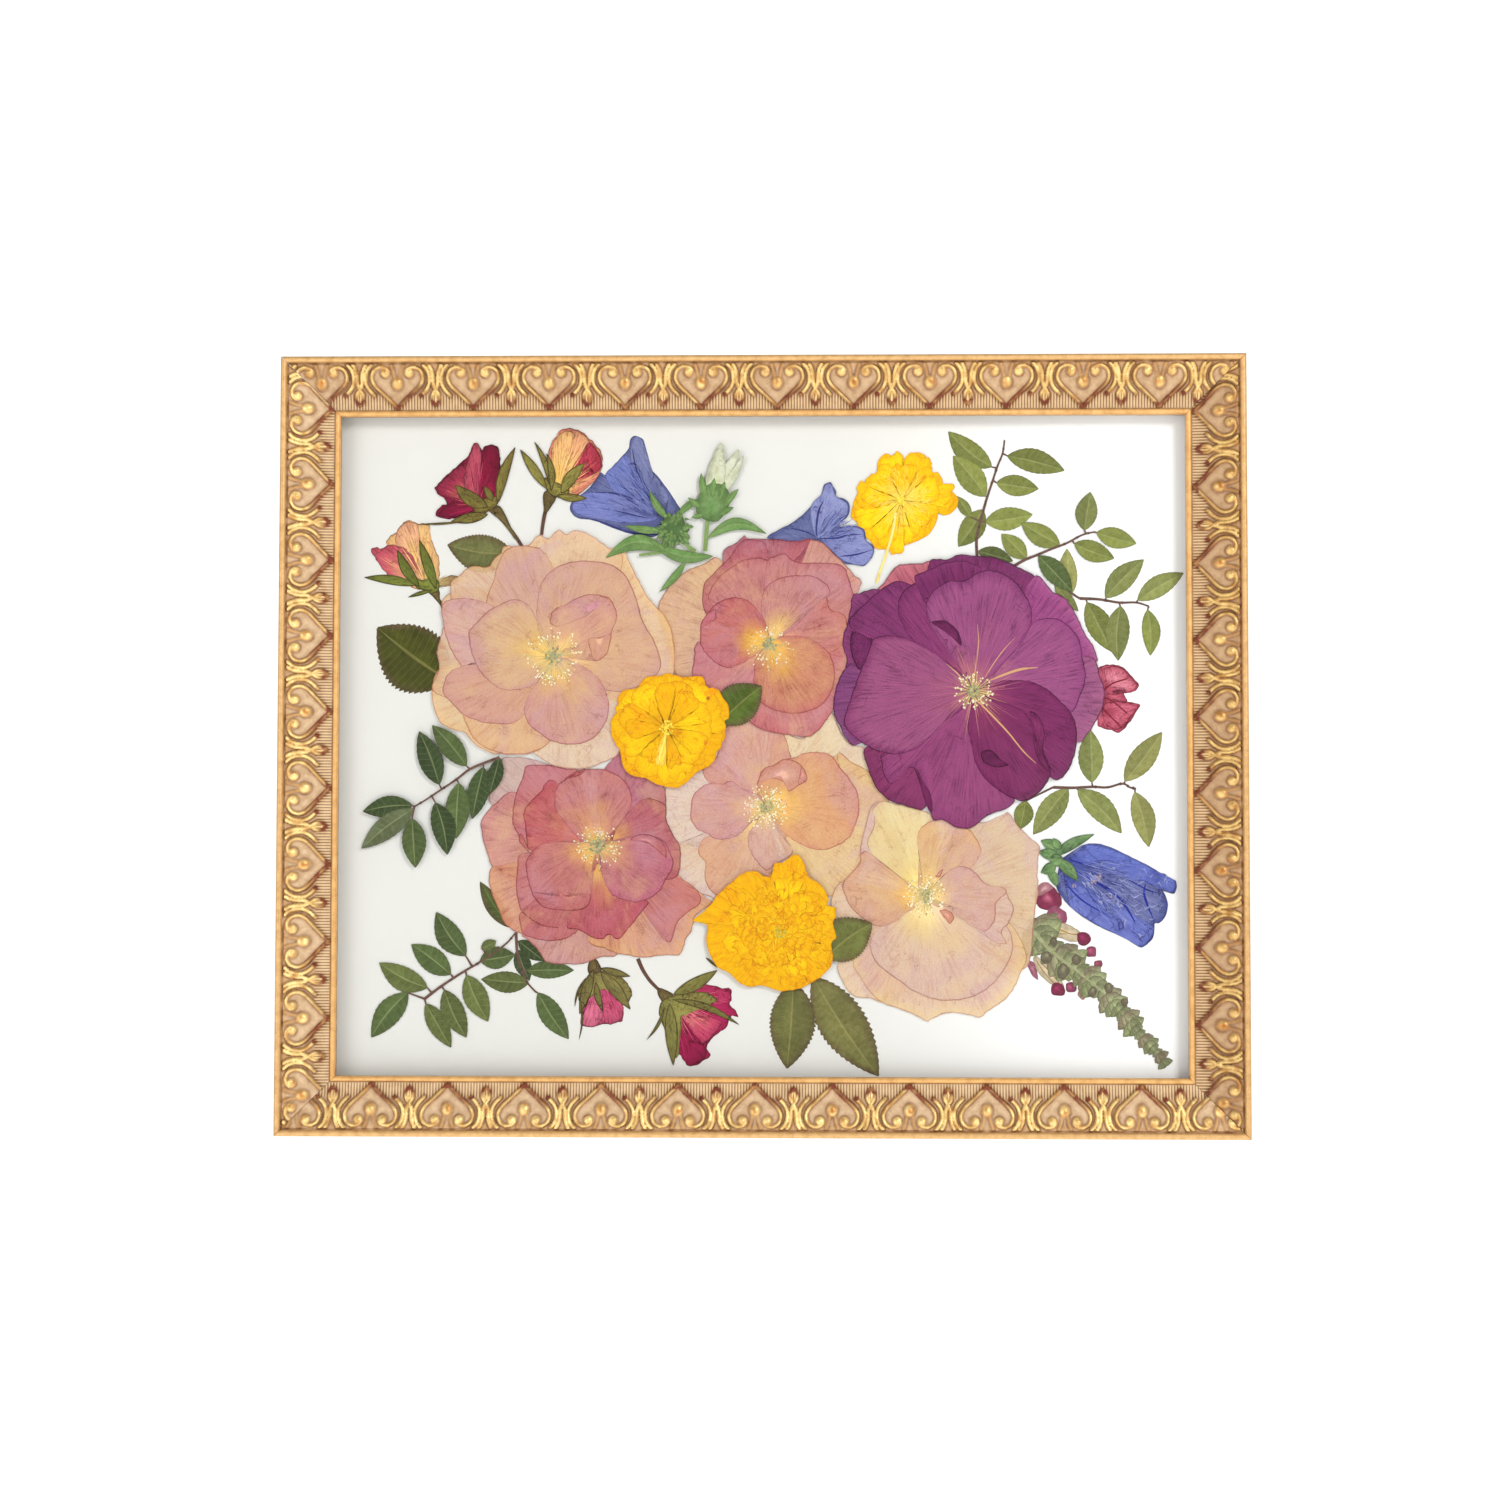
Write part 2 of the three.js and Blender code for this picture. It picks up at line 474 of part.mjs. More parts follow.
sprig("sprig_lower_left", 1, 0x637a38,
  [[[-112, -86.5], [-117, -89], [-120, -91.5], [-128, -97], [-133, -99.5], [-136.5, -103.5]],
    [[-117.5, -89.5], [-119, -85]], [[-128, -96.5], [-128.2, -100]], [[-119.6, -91], [-119.6, -94]]],
  [[-119, -85.5, -132.5, -67.8, 10.5], [-124.5, -93.8, -142, -80.5, 10], [-133, -99.3, -155.3, -88.5, 10],
    [-143, -98, -158, -119, 10.5], [-136.5, -103, -125.5, -123, 8.5], [-128, -98.5, -119.5, -119, 9],
    [-119.5, -92.5, -110.5, -112.5, 10], [-113.5, -87, -100.5, -84.5, 9], [-111, -84, -110, -77.7, 6]]);
sprig("sprig_lower_middle", 0, 0x5f7440,
  [[[-99, -74], [-99.5, -80], [-98, -86], [-94.5, -95.5], [-92, -98.5], [-89.5, -102]],
    [[-104, -81], [-99.2, -77]]],
  [[-99.5, -79, -87, -88, 7], [-99, -83, -94, -95.5, 7], [-95, -91.5, -76, -91.3, 7.5],
    [-94.3, -96.5, -113.5, -95, 8.8], [-90.5, -100.5, -78, -119, 9.5]]);

// Single rose leaves.
const ROSE_LEAVES = [
  ["rose_leaf_top", 0, [[-128.5, 82], [-117, 86], [-103, 80], [-112.5, 72.5], [-123, 77]]],
  ["rose_leaf_left", 0, [[-154.5, 50], [-143, 50], [-128, 44], [-129, 24], [-135, 20], [-147, 25],
    [-156, 38]]],
  ["rose_leaf_centre", 5, [[-17, 24], [-9, 24.8], [0, 23.8], [-4, 14], [-14.5, 5], [-21, 12]]],
  ["rose_leaf_low_centre", 5, [[28, -72], [36, -71.6], [44.7, -72], [41, -82], [28.5, -89], [22, -81]]],
  ["rose_leaf_bottom_left", 0, [[8, -92], [15, -95], [19.3, -105], [16, -120], [10.5, -130.6],
    [2, -120], [0, -108], [3, -97]]],
  ["rose_leaf_bottom_right", 0, [[19.4, -96.4], [31, -99], [42, -109], [47.3, -133.5], [30, -124],
    [20, -107]]],
  ["rose_leaf_sliver", 0, [[-114, -55.8], [-108.5, -60], [-103, -72.5], [-109, -67]]],
];
for (const [name, layer, points] of ROSE_LEAVES) {
  pressed(name, layer, 0x5c6234, [smoothOutline(points)]);
}

export default frame;
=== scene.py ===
import math
import random

import bmesh
import bpy
import numpy as np
from mathutils import Matrix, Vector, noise


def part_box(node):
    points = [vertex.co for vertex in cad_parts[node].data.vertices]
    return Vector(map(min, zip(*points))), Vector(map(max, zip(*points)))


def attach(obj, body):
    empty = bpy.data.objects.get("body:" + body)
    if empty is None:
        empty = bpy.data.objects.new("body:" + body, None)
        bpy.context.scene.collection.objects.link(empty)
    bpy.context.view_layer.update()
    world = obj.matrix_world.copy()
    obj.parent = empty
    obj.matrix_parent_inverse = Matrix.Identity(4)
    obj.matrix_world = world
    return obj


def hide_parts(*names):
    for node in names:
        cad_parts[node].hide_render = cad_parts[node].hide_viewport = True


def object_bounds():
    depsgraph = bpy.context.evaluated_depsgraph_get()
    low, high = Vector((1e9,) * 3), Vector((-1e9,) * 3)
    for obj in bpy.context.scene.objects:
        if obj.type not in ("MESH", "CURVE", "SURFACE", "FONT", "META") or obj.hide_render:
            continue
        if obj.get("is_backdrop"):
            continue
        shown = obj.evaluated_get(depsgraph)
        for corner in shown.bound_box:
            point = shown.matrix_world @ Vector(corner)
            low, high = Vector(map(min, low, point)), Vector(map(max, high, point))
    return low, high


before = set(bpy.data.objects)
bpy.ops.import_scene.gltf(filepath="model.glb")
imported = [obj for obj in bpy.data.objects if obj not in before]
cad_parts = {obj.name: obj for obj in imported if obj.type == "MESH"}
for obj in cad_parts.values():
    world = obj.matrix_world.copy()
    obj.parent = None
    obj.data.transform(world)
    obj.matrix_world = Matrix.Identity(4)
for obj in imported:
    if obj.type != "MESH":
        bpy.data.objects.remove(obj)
cad_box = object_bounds()
bpy.ops.object.select_all(action="DESELECT")
scene = bpy.context.scene
MM = 0.001

# Camera and light. The frame hangs at eye height, seen from about 1.2 m with a long lens and from
# slightly to its right, in a white studio with a soft light at the upper right.
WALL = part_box("rail_bottom")[1].y
LENS, SENSOR = 70, 36
EYE = (28.9 * MM, WALL - 1187.7 * MM, -61.6 * MM)
YAW, PITCH, ROLL = (math.radians(angle) for angle in (1.627, 2.889, -0.0945))

camera_data = bpy.data.cameras.new("camera")
camera_data.lens, camera_data.sensor_width = LENS, SENSOR
camera = bpy.data.objects.new("camera", camera_data)
scene.collection.objects.link(camera)
turn = Matrix.Rotation(YAW, 4, "Z") @ Matrix.Rotation(PITCH, 4, "X") @ Matrix.Rotation(ROLL, 4, "Y")
camera.matrix_world = Matrix.Translation(EYE) @ turn @ Matrix.Rotation(math.pi / 2, 4, "X")
scene.camera = camera
scene.view_settings.view_transform = "Standard"

SOFT_LIGHT, WHITE_ROOM = 0.35, 1.15
world = bpy.data.worlds.new("white_room")
world.use_nodes = True
scene.world = world
room = world.node_tree
seen = room.nodes.new("ShaderNodeLightPath")
brightness = room.nodes.new("ShaderNodeMapRange")
brightness.inputs["To Min"].default_value = SOFT_LIGHT
brightness.inputs["To Max"].default_value = WHITE_ROOM
room.links.new(seen.outputs["Is Camera Ray"], brightness.inputs["Value"])
room.links.new(brightness.outputs["Result"], room.nodes["Background"].inputs["Strength"])
room.nodes["Background"].inputs["Color"].default_value = (1.0, 0.995, 0.985, 1)

for name, place, size, power in (("window_light", (1.0, -1.45, 0.8), 0.5, 18.5),
                                 ("fill_light", (-1.7, -2.0, 0.3), 1.4, 18)):
    lamp = bpy.data.lights.new(name, "AREA")
    lamp.size, lamp.energy = size, power
    light = bpy.data.objects.new(name, lamp)
    light.location = place
    light.rotation_euler = (-light.location).to_track_quat("-Z", "Y").to_euler()
    scene.collection.objects.link(light)

# The studio floor is stage only. It lies below the picture and glows a little, so that it throws
# white light up at the frame and no shadow.
FLOOR_HEIGHT, FLOOR_SPAN = -0.75, 14
bpy.ops.mesh.primitive_plane_add(size=FLOOR_SPAN, location=(0, 0, FLOOR_HEIGHT))
floor = bpy.context.object
floor.name = "floor"
pale = bpy.data.materials.new("pale_floor")
pale.use_nodes = True
paint = pale.node_tree.nodes["Principled BSDF"].inputs
paint["Base Color"].default_value = (0.95, 0.945, 0.935, 1)
paint["Roughness"].default_value = 0.9
paint["Emission Color"].default_value = (1, 1, 1, 1)
paint["Emission Strength"].default_value = 0.9
floor.data.materials.append(pale)
floor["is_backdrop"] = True
bpy.ops.object.select_all(action="DESELECT")


# Four mitred rails of moulded wood. The moulding has a round rim, a step, a shallow cove with
# a pressed ornament of hearts, buds and palmettes over fine ribs, and a round lip at the glass.
# It is gilded over red-brown clay, washed grey-beige in the hollows and rubbed bright on the ridges.
# Painted shade darkens the foot of every ridge, the grooves at the rim and lip, the gaps between the
# ribs, one side of each heart and the field of the top and right rails. Painted highlight brightens
# the rubbed ridges and the rib crests.
class Wire:
    """One output of a shader node. Arithmetic on it adds Math nodes to its material."""

    def __init__(self, tree, socket=None):
        self.tree, self.socket = tree, socket

    def node(self, kind, settings=(), sockets=(), output=0):
        made = self.tree.nodes.new("ShaderNode" + kind)
        for name, value in dict(settings).items():
            if name == "stops":
                while len(made.color_ramp.elements) < len(value):
                    made.color_ramp.elements.new(1)
                for element, (place, colour) in zip(made.color_ramp.elements, value):
                    element.position, element.color = place, colour
            else:
                setattr(made, name, value)
        for name, value in dict(sockets).items():
            if isinstance(value, Wire):
                self.tree.links.new(value.socket, made.inputs[name])
            else:
                made.inputs[name].default_value = value
        return Wire(self.tree, made.outputs[output])

    def maths(self, operation, *values):
        """A Math node on the values, in this wire's material."""
        return self.node("Math", {"operation": operation}, dict(enumerate(values)))

    def __add__(self, other):
        return self.maths("ADD", self, other)

    def __sub__(self, other):
        return self.maths("SUBTRACT", self, other)

    def __mul__(self, other):
        return self.maths("MULTIPLY", self, other)

    def __radd__(self, other):
        return self.maths("ADD", other, self)

    def __rsub__(self, other):
        return self.maths("SUBTRACT", other, self)

    def __rmul__(self, other):
        return self.maths("MULTIPLY", other, self)

    def step(self, low, high, start=0.0, end=1.0):
        """Start below the low value, end above the high one, and a smooth rise between."""
        limits = {"From Min": low, "From Max": high, "To Min": start, "To Max": end}
        return self.node("MapRange", {"interpolation_type": "SMOOTHSTEP"}, {"Value": self, **limits})

    def tint(self, colour, other, mode="MIX"):
        """The colour, changed to or by the other one where this wire is 1."""
        return self.node("Mix", {"data_type": "RGBA", "blend_type": mode},
                         {0: self, 6: colour, 7: other}, 2)

    def noise(self, scale, detail=3.0, rough=0.55, distortion=0.0):
        """A noise texture on this wire as its coordinates."""
        return self.node("TexNoise", (), {"Vector": self, "Scale": scale, "Detail": detail,
                                          "Roughness": rough, "Distortion": distortion})

    def stretch(self, x, y, z):
        """This wire, as coordinates, scaled along its axes."""
        return self.node("Mapping", (), {"Vector": self, "Scale": (x, y, z)})

    def axis(self, number):
        """One axis of this wire as coordinates."""
        return self.node("SeparateXYZ", (), {"Vector": self}, number)

    def place(self):
        """Where the surface is, on the object's own axes in metres."""
        return self.node("TexCoord", (), (), 3)

    def layer(self, name, output=2):
        """A number that the mesh carries at its points, or its colour when the output is 0."""
        return self.node("Attribute", {"attribute_name": name}, (), output)


def linear(red, green, blue):
    """A colour given as 0 to 255 on a screen, as Blender's linear colour."""
    shares = (channel / 255 for channel in (red, green, blue))
    return (*(((c + 0.055) / 1.055) ** 2.4 if c > 10 / 255 else c / 12.92 for c in shares), 1.0)


def new_material(name, **uniform):
    """A material, its shader node and a wire to start expressions from."""
    material = bpy.data.materials.new(name)
    material.use_nodes = True
    shader = material.node_tree.nodes["Principled BSDF"]
    for socket, value in uniform.items():
        shader.inputs[socket.replace("_", " ")].default_value = value
    return material, shader, Wire(material.node_tree)


def feed(shader, **wires):
    """Links wires to the shader's sockets."""
    for socket, wire in wires.items():
        wire.tree.links.new(wire.socket, shader.inputs[socket.replace("_", " ")])


def bump(height, strength, depth_mm):
    """A surface's Normal from a height wire of 0 to 1."""
    return height.node("Bump", (), {"Height": height, "Strength": strength, "Distance": depth_mm * MM})


def add_piece(name, points, faces, replaced, material):
    """A mesh object from points in millimetres, riding on the frame in place of its CAD node."""
    mesh = bpy.data.meshes.new(name)
    mesh.from_pydata((np.asarray(points) * MM).tolist(), [], faces)
    mesh.polygons.foreach_set("use_smooth", [True] * len(mesh.polygons))
    piece = bpy.data.objects.new(name, mesh)
    scene.collection.objects.link(piece)
    mesh.materials.append(material)
    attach(piece, "root")
    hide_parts(replaced)
    return piece


def carry(piece, layers, uv_name, uvs):
    """Stores colours and numbers at the points of a piece, and a UV map at its corners."""
    for name, values in layers.items():
        coloured = values.ndim == 2
        if coloured:
            values = np.hstack([values, np.ones((len(values), 1))])
        stored = piece.data.attributes.new(name, "FLOAT_COLOR" if coloured else "FLOAT", "POINT")
        stored.data.foreach_set("color" if coloured else "value", values.astype(float).ravel())
    uv = piece.data.uv_layers.new(name=uv_name)
    uv.data.foreach_set("uv", np.asarray(uvs, float).ravel())


# The moulding's sizes. Across the face, 0 is the sight edge at the glass. Depth is from the wall.
SIGHT_WIDTH, SIGHT_HEIGHT = 343.0, 267.5
RAIL_FACE, RAIL_DEPTH, RABBET_WIDTH, RABBET_DEPTH, OUTER_SIDE = 24.0, 18.0, 7.0, 9.6, 8
RIM_RADIUS, RIM_START, LIP_RADIUS, LIP_DEPTH, BEAD_RISE = 1.3, 21.3, 1.15, 12.5, 1.1
STEP_ACROSS, STEP_DEPTH, BACK_CHAMFER = 21.25, 15.9, 0.4
FIELD_START, FIELD_END, FIELD_LOW, FIELD_HIGH, FIELD_HOLLOW, FIELD_ROWS = 2.4, 20.8, 12.6, 16.3, 1.3, 46
HEART_PITCH, RIB_PITCH, STEP_ALONG, MITRE_GAP, UV_SPAN = 30.9, 1.18, 0.42, 0.07, 100


def bead(centre, depth, radius, steps=8):
    """A half-round bead of the section, from its outer side to its inner side."""
    angles = np.linspace(0, math.pi, steps)
    return [(centre + radius * math.cos(a), depth + radius * BEAD_RISE * math.sin(a)) for a in angles]


field = np.linspace(FIELD_END, FIELD_START, FIELD_ROWS)
field_share = (field - FIELD_START) / (FIELD_END - FIELD_START)
field_depth = FIELD_LOW + (FIELD_HIGH - FIELD_LOW) * field_share ** FIELD_HOLLOW
section = np.array(
    [(RAIL_FACE, 0), (RAIL_FACE, OUTER_SIDE)]
    + bead(RAIL_FACE - RIM_RADIUS, RAIL_DEPTH - RIM_RADIUS * BEAD_RISE, RIM_RADIUS)
    + [(STEP_ACROSS, STEP_DEPTH)] + list(zip(field, field_depth))
    + bead(LIP_RADIUS, LIP_DEPTH, LIP_RADIUS)
    + [(0, RABBET_DEPTH), (RABBET_WIDTH, RABBET_DEPTH), (RABBET_WIDTH, 0), (RAIL_FACE - BACK_CHAMFER, 0)])


def smooth_curve(knots, steps=6, closed=False):
    """A Catmull-Rom curve through given points."""
    p = np.asarray(knots, float)
    before, after = (p[-1], p[:2]) if closed else (2 * p[0] - p[1], 2 * p[-1] - p[-2])
    p = np.vstack([before, p, after])
    t = np.linspace(0, 1, steps, endpoint=False)[:, None]
    spans = [0.5 * (2 * b + (c - a) * t + (2 * a - 5 * b + 4 * c - d) * t**2
                    + (3 * b - a - 3 * c + d) * t**3) for a, b, c, d in zip(p, p[1:], p[2:], p[3:])]
    return np.vstack(spans + ([] if closed else [p[-2][None]]))


def distance_to(curve, x, z):
    """Distance from every (x, z) to a curve, and how far along the curve that is, from 0 to 1."""
    best, place = np.full(x.shape, 1e9), np.zeros(x.shape)
    for i, ((ax, az), (bx, bz)) in enumerate(zip(curve, curve[1:])):
        dx, dz = bx - ax, bz - az
        t = np.clip(((x - ax) * dx + (z - az) * dz) / (dx * dx + dz * dz + 1e-9), 0, 1)
        d = np.hypot(x - ax - t * dx, z - az - t * dz)
        nearer = d < best
        best, place = np.where(nearer, d, best), np.where(nearer, (i + t) / (len(curve) - 1), place)
    return best, place


# One unit of the ornament, drawn to the right of its axis: along the rail, and out from the lip.
HEART = smooth_curve([(0, 3.0), (2.6, 5.8), (6.2, 9.2), (9.3, 12.3), (10.4, 15.2), (9.5, 18.0),
                      (7.2, 19.3), (4.8, 19.0), (3.6, 17.8)])
HEART_RISE, HEART_HALF_WIDTH = (3, 5.8, 9.2, 12.3, 15.2, 18, 19.3), (0, 2.6, 6.2, 9.3, 10.3, 9.4, 7)
VOLUTE = smooth_curve([(3.6, 17.8), (3.8, 16.4), (5.0, 15.8), (6.1, 16.6)])
BUD_STEM = smooth_curve([(0.7, 14.0), (1.2, 15.8), (1.6, 17.8), (2.4, 20.0)])
LOOP = smooth_curve([(0, 10.6), (1.1, 9.2), (1.55, 7.4), (1.1, 5.6), (0, 4.4)])
PALMETTE_STEM = smooth_curve([(0, 10.6), (0.9, 12.8), (1.0, 15.6), (1.5, 18.2), (2.5, 20.2)])
ARM = smooth_curve([(4.8, 20.2), (3.3, 18.4), (2.5, 15.8), (2.6, 13), (3.8, 10.6), (5.8, 8.5)])


def ridge(distance, half_width):
    """A round ridge, 1 at its crest."""
    return np.sqrt(np.clip(1 - (distance / half_width) ** 2, 0, None))


def ornament(along, out, shaded_side):
    """Height in mm, and masks for ridge, clay, painted shade and ribs, at points of a rail's face."""
    t = (along + HEART_PITCH / 2) % HEART_PITCH - HEART_PITCH / 2
    side, a = np.sign(t), np.abs(t)
    b = HEART_PITCH / 2 - a
    heart, heart_place = distance_to(HEART, a, out)
    volute, stem = (distance_to(curve, a, out)[0] for curve in (VOLUTE, BUD_STEM))
    loop, palm, arm = (distance_to(curve, b, out)[0] for curve in (LOOP, PALMETTE_STEM, ARM))
    bud = np.hypot(a / 1.0, (out - 12.9) / 1.15)
    ball = np.hypot(a - 5.1, out - 17.1)
    arm_ball = np.hypot(b - 5.9, out - 8.3)
    teardrop = np.hypot(b / 1.3, (out - 7.2) / 2.7)
    inside_heart = (a < np.interp(out, HEART_RISE, HEART_HALF_WIDTH)) & (out > HEART_RISE[0])
    height = np.maximum.reduce([
        1.3 * ridge(heart, 0.85), 1.25 * ridge(volute, 0.8), 0.9 * ridge(stem, 0.8), 1.7 * ridge(bud, 2.4),
        1.7 * ridge(ball, 1.8), 0.9 * ridge(loop, 0.6), 1.1 * ridge(palm, 0.8), 1.0 * ridge(arm, 0.75),
        1.0 * ridge(arm_ball, 0.8), 0.75 * ridge(teardrop, 1.0),
        0.6 * inside_heart * np.clip(heart / 1.5, 0, 1) ** 0.6])
    within = (out > FIELD_START) & (out < 20.7)
    height *= within
    near = np.minimum.reduce([heart, volute, stem, loop, palm, arm, np.clip(bud - 1.8, 0, None),
                              np.clip(ball - 1.2, 0, None), np.clip(arm_ball - 0.2, 0, None)])
    # Each heart has a shaded side. Its red-brown clay is real, but it is made stronger there as painted
    # shade.
    on_shaded_side = np.where(side == shaded_side, 1.0, 0.35)
    clay = np.maximum.reduce([
        (heart < 0.95) * np.clip(1 - abs(out - 7.4) / 5.4, 0, 1) ** 0.4 * on_shaded_side,
        (heart < 0.95) * np.clip((5.6 - out) / 1.2, 0, 1), (loop < 0.75) * np.clip((8.6 - out) / 2.4, 0, 1),
        np.clip((1.15 - arm_ball) / 0.3, 0, 1) * on_shaded_side]) * within
    # Painted shade: a dark stripe at the outer foot of each heart's lower ridge, strongest on the shaded
    # side.
    shade_line = (np.clip(1 - abs(heart - 0.75) / 0.4, 0, 1) * ~inside_heart * (heart_place < 0.72)
            * np.where(side == shaded_side, 1.0, 0.7)) * within
    ribs = np.clip((8.8 - out) / 0.8, 0, 1) * ~inside_heart * np.clip((near - 0.55) / 0.25, 0, 1) * (
        out > FIELD_START + 0.15)
    raised = np.clip(height - 0.6 * inside_heart, 0, None) / 1.3
    return 1.2 * height, raised, near, clay, shade_line, ribs, bud, inside_heart


WASH, HOLLOW_SHADE, CLAY = linear(215, 185, 148), linear(154, 106, 58), linear(126, 52, 18)
GOLD, RUBBED_HIGHLIGHT, ORANGE = linear(206, 154, 84), linear(255, 227, 154), linear(202, 122, 46)
PAINTED_SHADE_BROWN, BARE_WOOD, FACE_SHADE_TONE = linear(108, 60, 20), linear(188, 150, 106), linear(206, 186, 160)
RIM_GOLD, LIP_GOLD = linear(221, 178, 118), linear(230, 180, 112)


def gild(along, out, depth, shaded_side):
    """Height of the ornament, and colour, shine and rib mask of the gilding, all over a rail.
    The colour holds painted shade in the hollows and grooves and painted highlight on the ridges.
    """
    height, raised, near, clay, shade_line, ribs, bud, inside_heart = ornament(along, out, shaded_side)
    patchy = np.array([noise.noise((a * 0.35, b * 0.35, shaded_side)) for a, b in zip(along, out)])

    def over(base, colour, amount):
        return base + (np.array(colour[:3]) - base) * np.clip(amount, 0, 1)[:, None]

    colour = np.tile(WASH[:3], (len(out), 1)).astype(float)
    # Painted shade: the cove darkens toward the foot of every ridge, less inside the hearts.
    colour = over(colour, HOLLOW_SHADE, np.where(inside_heart, 0.4, 0.65) * np.clip(1.25 - near / 2.4, 0, 1))
    colour = over(colour, GOLD, 0.5 * (out > 19) * np.clip(0.6 + patchy, 0, 1))
    # Painted shade: a dark band in the crease round every ridge, weaker inside the hearts.
    colour = over(colour, PAINTED_SHADE_BROWN, np.clip(1 - abs(near - 0.85) / 0.6, 0, 1) * (out > FIELD_START)
                  * np.where(inside_heart, 0.6, 0.9) * (0.9 + 0.8 * patchy))
    colour = over(colour, GOLD, np.clip(raised / 0.3, 0, 1))
    # The ridge tops are rubbed bright. This is real wear of the gilt, and it is painted highlight as well.
    colour = over(colour, RUBBED_HIGHLIGHT, np.clip((raised - 0.25) / 0.3, 0, 1)
                  * np.clip(0.8 + 1.2 * patchy, 0, 1))
    colour = over(colour, ORANGE, np.clip(1.2 - bud / 1.6, 0, 1)
                  * np.clip(0.55 - 1.4 * patchy, 0.1, 0.9))
    # Painted shade: the dark stripe along each heart.
    colour = over(colour, PAINTED_SHADE_BROWN, 0.85 * shade_line)
    colour = over(colour, CLAY, clay * np.clip(1.1 + 1.2 * patchy, 0.3, 1))
    on_rim, on_lip = out > RIM_START, out < FIELD_START
    colour = over(colour, RIM_GOLD, 1.0 * on_rim)
    colour = over(colour, LIP_GOLD, 1.0 * on_lip)
    # Painted shade in the groove before the rim bead and in the groove at the foot of the lip.
    colour = over(colour, PAINTED_SHADE_BROWN, (0.35 + 0.5 * patchy) * (abs(out - 21.1) < 0.35) * (depth > 14))
    colour = over(colour, PAINTED_SHADE_BROWN, 0.55 * (abs(out - FIELD_START) < 0.3) * (depth > 11))
    behind = (depth < RABBET_DEPTH + 0.2) & (out < RAIL_FACE - 0.01)
    colour = over(colour, BARE_WOOD, 1.0 * behind)
    shine = 0.25 + 0.6 * np.clip(raised / 0.6, 0, 1) + 0.35 * (on_rim | on_lip) - 0.6 * clay
    shine = np.clip(shine, 0, 1)
    return height, colour, shine * ~behind, ribs * ~behind


gilding, gilding_shader, wire = new_material("gilding", Roughness=0.4, Metallic=0.3)
place = wire.place()
# This layer carries the gilt colour with the painted shade and highlight that gild puts into it.
leaf = wire.layer("gilding", 0)
rubbed = wire.layer("shine")
ribbed = wire.layer("ribs")
rib_wave = wire.maths("SINE", wire.node("UVMap", {"uv_map": "along"}).axis(0) * (2 * math.pi * UV_SPAN))
rib_groove_shade = rib_wave.step(0.1, 0.9) * ribbed
mottle = place.noise(300, 5, 0.7)
worn = place.noise(1100, 3, 0.7)
tone = (mottle.step(0.35, 0.7) * 0.6).tint(leaf, linear(206, 186, 156), "MULTIPLY")
tone = (worn.step(0.62, 0.75) * 0.35).tint(tone, linear(150, 96, 52))
# Painted shade darkens the grooves between the ribs, and painted highlight lightens their crests.
tone = (rib_groove_shade * 0.75).tint(tone, linear(120, 84, 48))
tone = (rib_wave.step(0.0, -0.8) * ribbed * 0.6).tint(tone, linear(226, 192, 142))
feed(gilding_shader, Base_Color=tone, Metallic=rubbed * 0.55, Roughness=0.62 - rubbed * 0.3 + mottle * 0.12,
     Normal=bump(1 - rib_groove_shade * 0.7 + worn * 0.25 + mottle * 0.25, 0.55, 0.35))

# Each rail: the length at its sight edge, where a heart is centred, the side on which its hearts get
# painted shade, how much painted shade darkens its field, and how along, depth and across become x, y and z.
RAILS = (("rail_top", SIGHT_WIDTH, -117.2, 1, 0.32, lambda u, y, w: (u, y, SIGHT_HEIGHT / 2 + w)),
         ("rail_bottom", SIGHT_WIDTH, -125.8, 1, 0.0, lambda u, y, w: (u, y, -SIGHT_HEIGHT / 2 - w)),
         ("rail_left", SIGHT_HEIGHT, 13.1, -1, 0.0, lambda u, y, w: (-SIGHT_WIDTH / 2 - w, y, u)),
         ("rail_right", SIGHT_HEIGHT, 11.2, 1, 0.55, lambda u, y, w: (SIGHT_WIDTH / 2 + w, y, u)))
WAVER, WAVER_SPAN = 0.05, 9
for node, length, first_heart, shaded_side, face_shade, put in RAILS:
    steps = int((length + 2 * RAIL_FACE) / STEP_ALONG)
    fraction = np.linspace(-1, 1, steps + 1)
    out, depth = (np.repeat(section[:, k][None], steps + 1, 0).ravel() for k in (0, 1))
    along = (fraction[:, None] * (length / 2 + section[:, 0] - MITRE_GAP)[None]).ravel()
    height, colour, shine, ribs = gild(along - first_heart, out, depth, shaded_side)
    in_field = (out > FIELD_START) & (out < RIM_START)
    # Painted shade: the field of the top and right rails is darkened.
    colour = colour * (1 - face_shade * (1 - np.array(FACE_SHADE_TONE[:3])) * in_field[:, None])
    relief = depth + height + WAVER * np.sin(along / WAVER_SPAN + out)
    depth = np.where((depth > RABBET_DEPTH) & (out > 0), relief, depth)
    points = np.stack(put(along, WALL / MM - depth, out), 1)
    ring = len(section)
    faces = [(i * ring + j, i * ring + (j + 1) % ring, (i + 1) * ring + (j + 1) % ring, (i + 1) * ring + j)
             for i in range(steps) for j in range(ring)]
    faces += [tuple(range(ring)), tuple(range(steps * ring, (steps + 1) * ring))]
    rail = add_piece(node.replace("rail", "moulding"), points, faces, node, gilding)
    shaped = bmesh.new()
    shaped.from_mesh(rail.data)
    bmesh.ops.recalc_face_normals(shaped, faces=shaped.faces)
    shaped.to_mesh(rail.data)
    shaped.free()
    corners = np.zeros(len(rail.data.loops), int)
    rail.data.loops.foreach_get("vertex_index", corners)
    uvs = np.stack([along[corners] / RIB_PITCH / UV_SPAN, out[corners] / UV_SPAN], 1)
    carry(rail, {"gilding": colour, "shine": shine, "ribs": ribs}, "along", uvs)


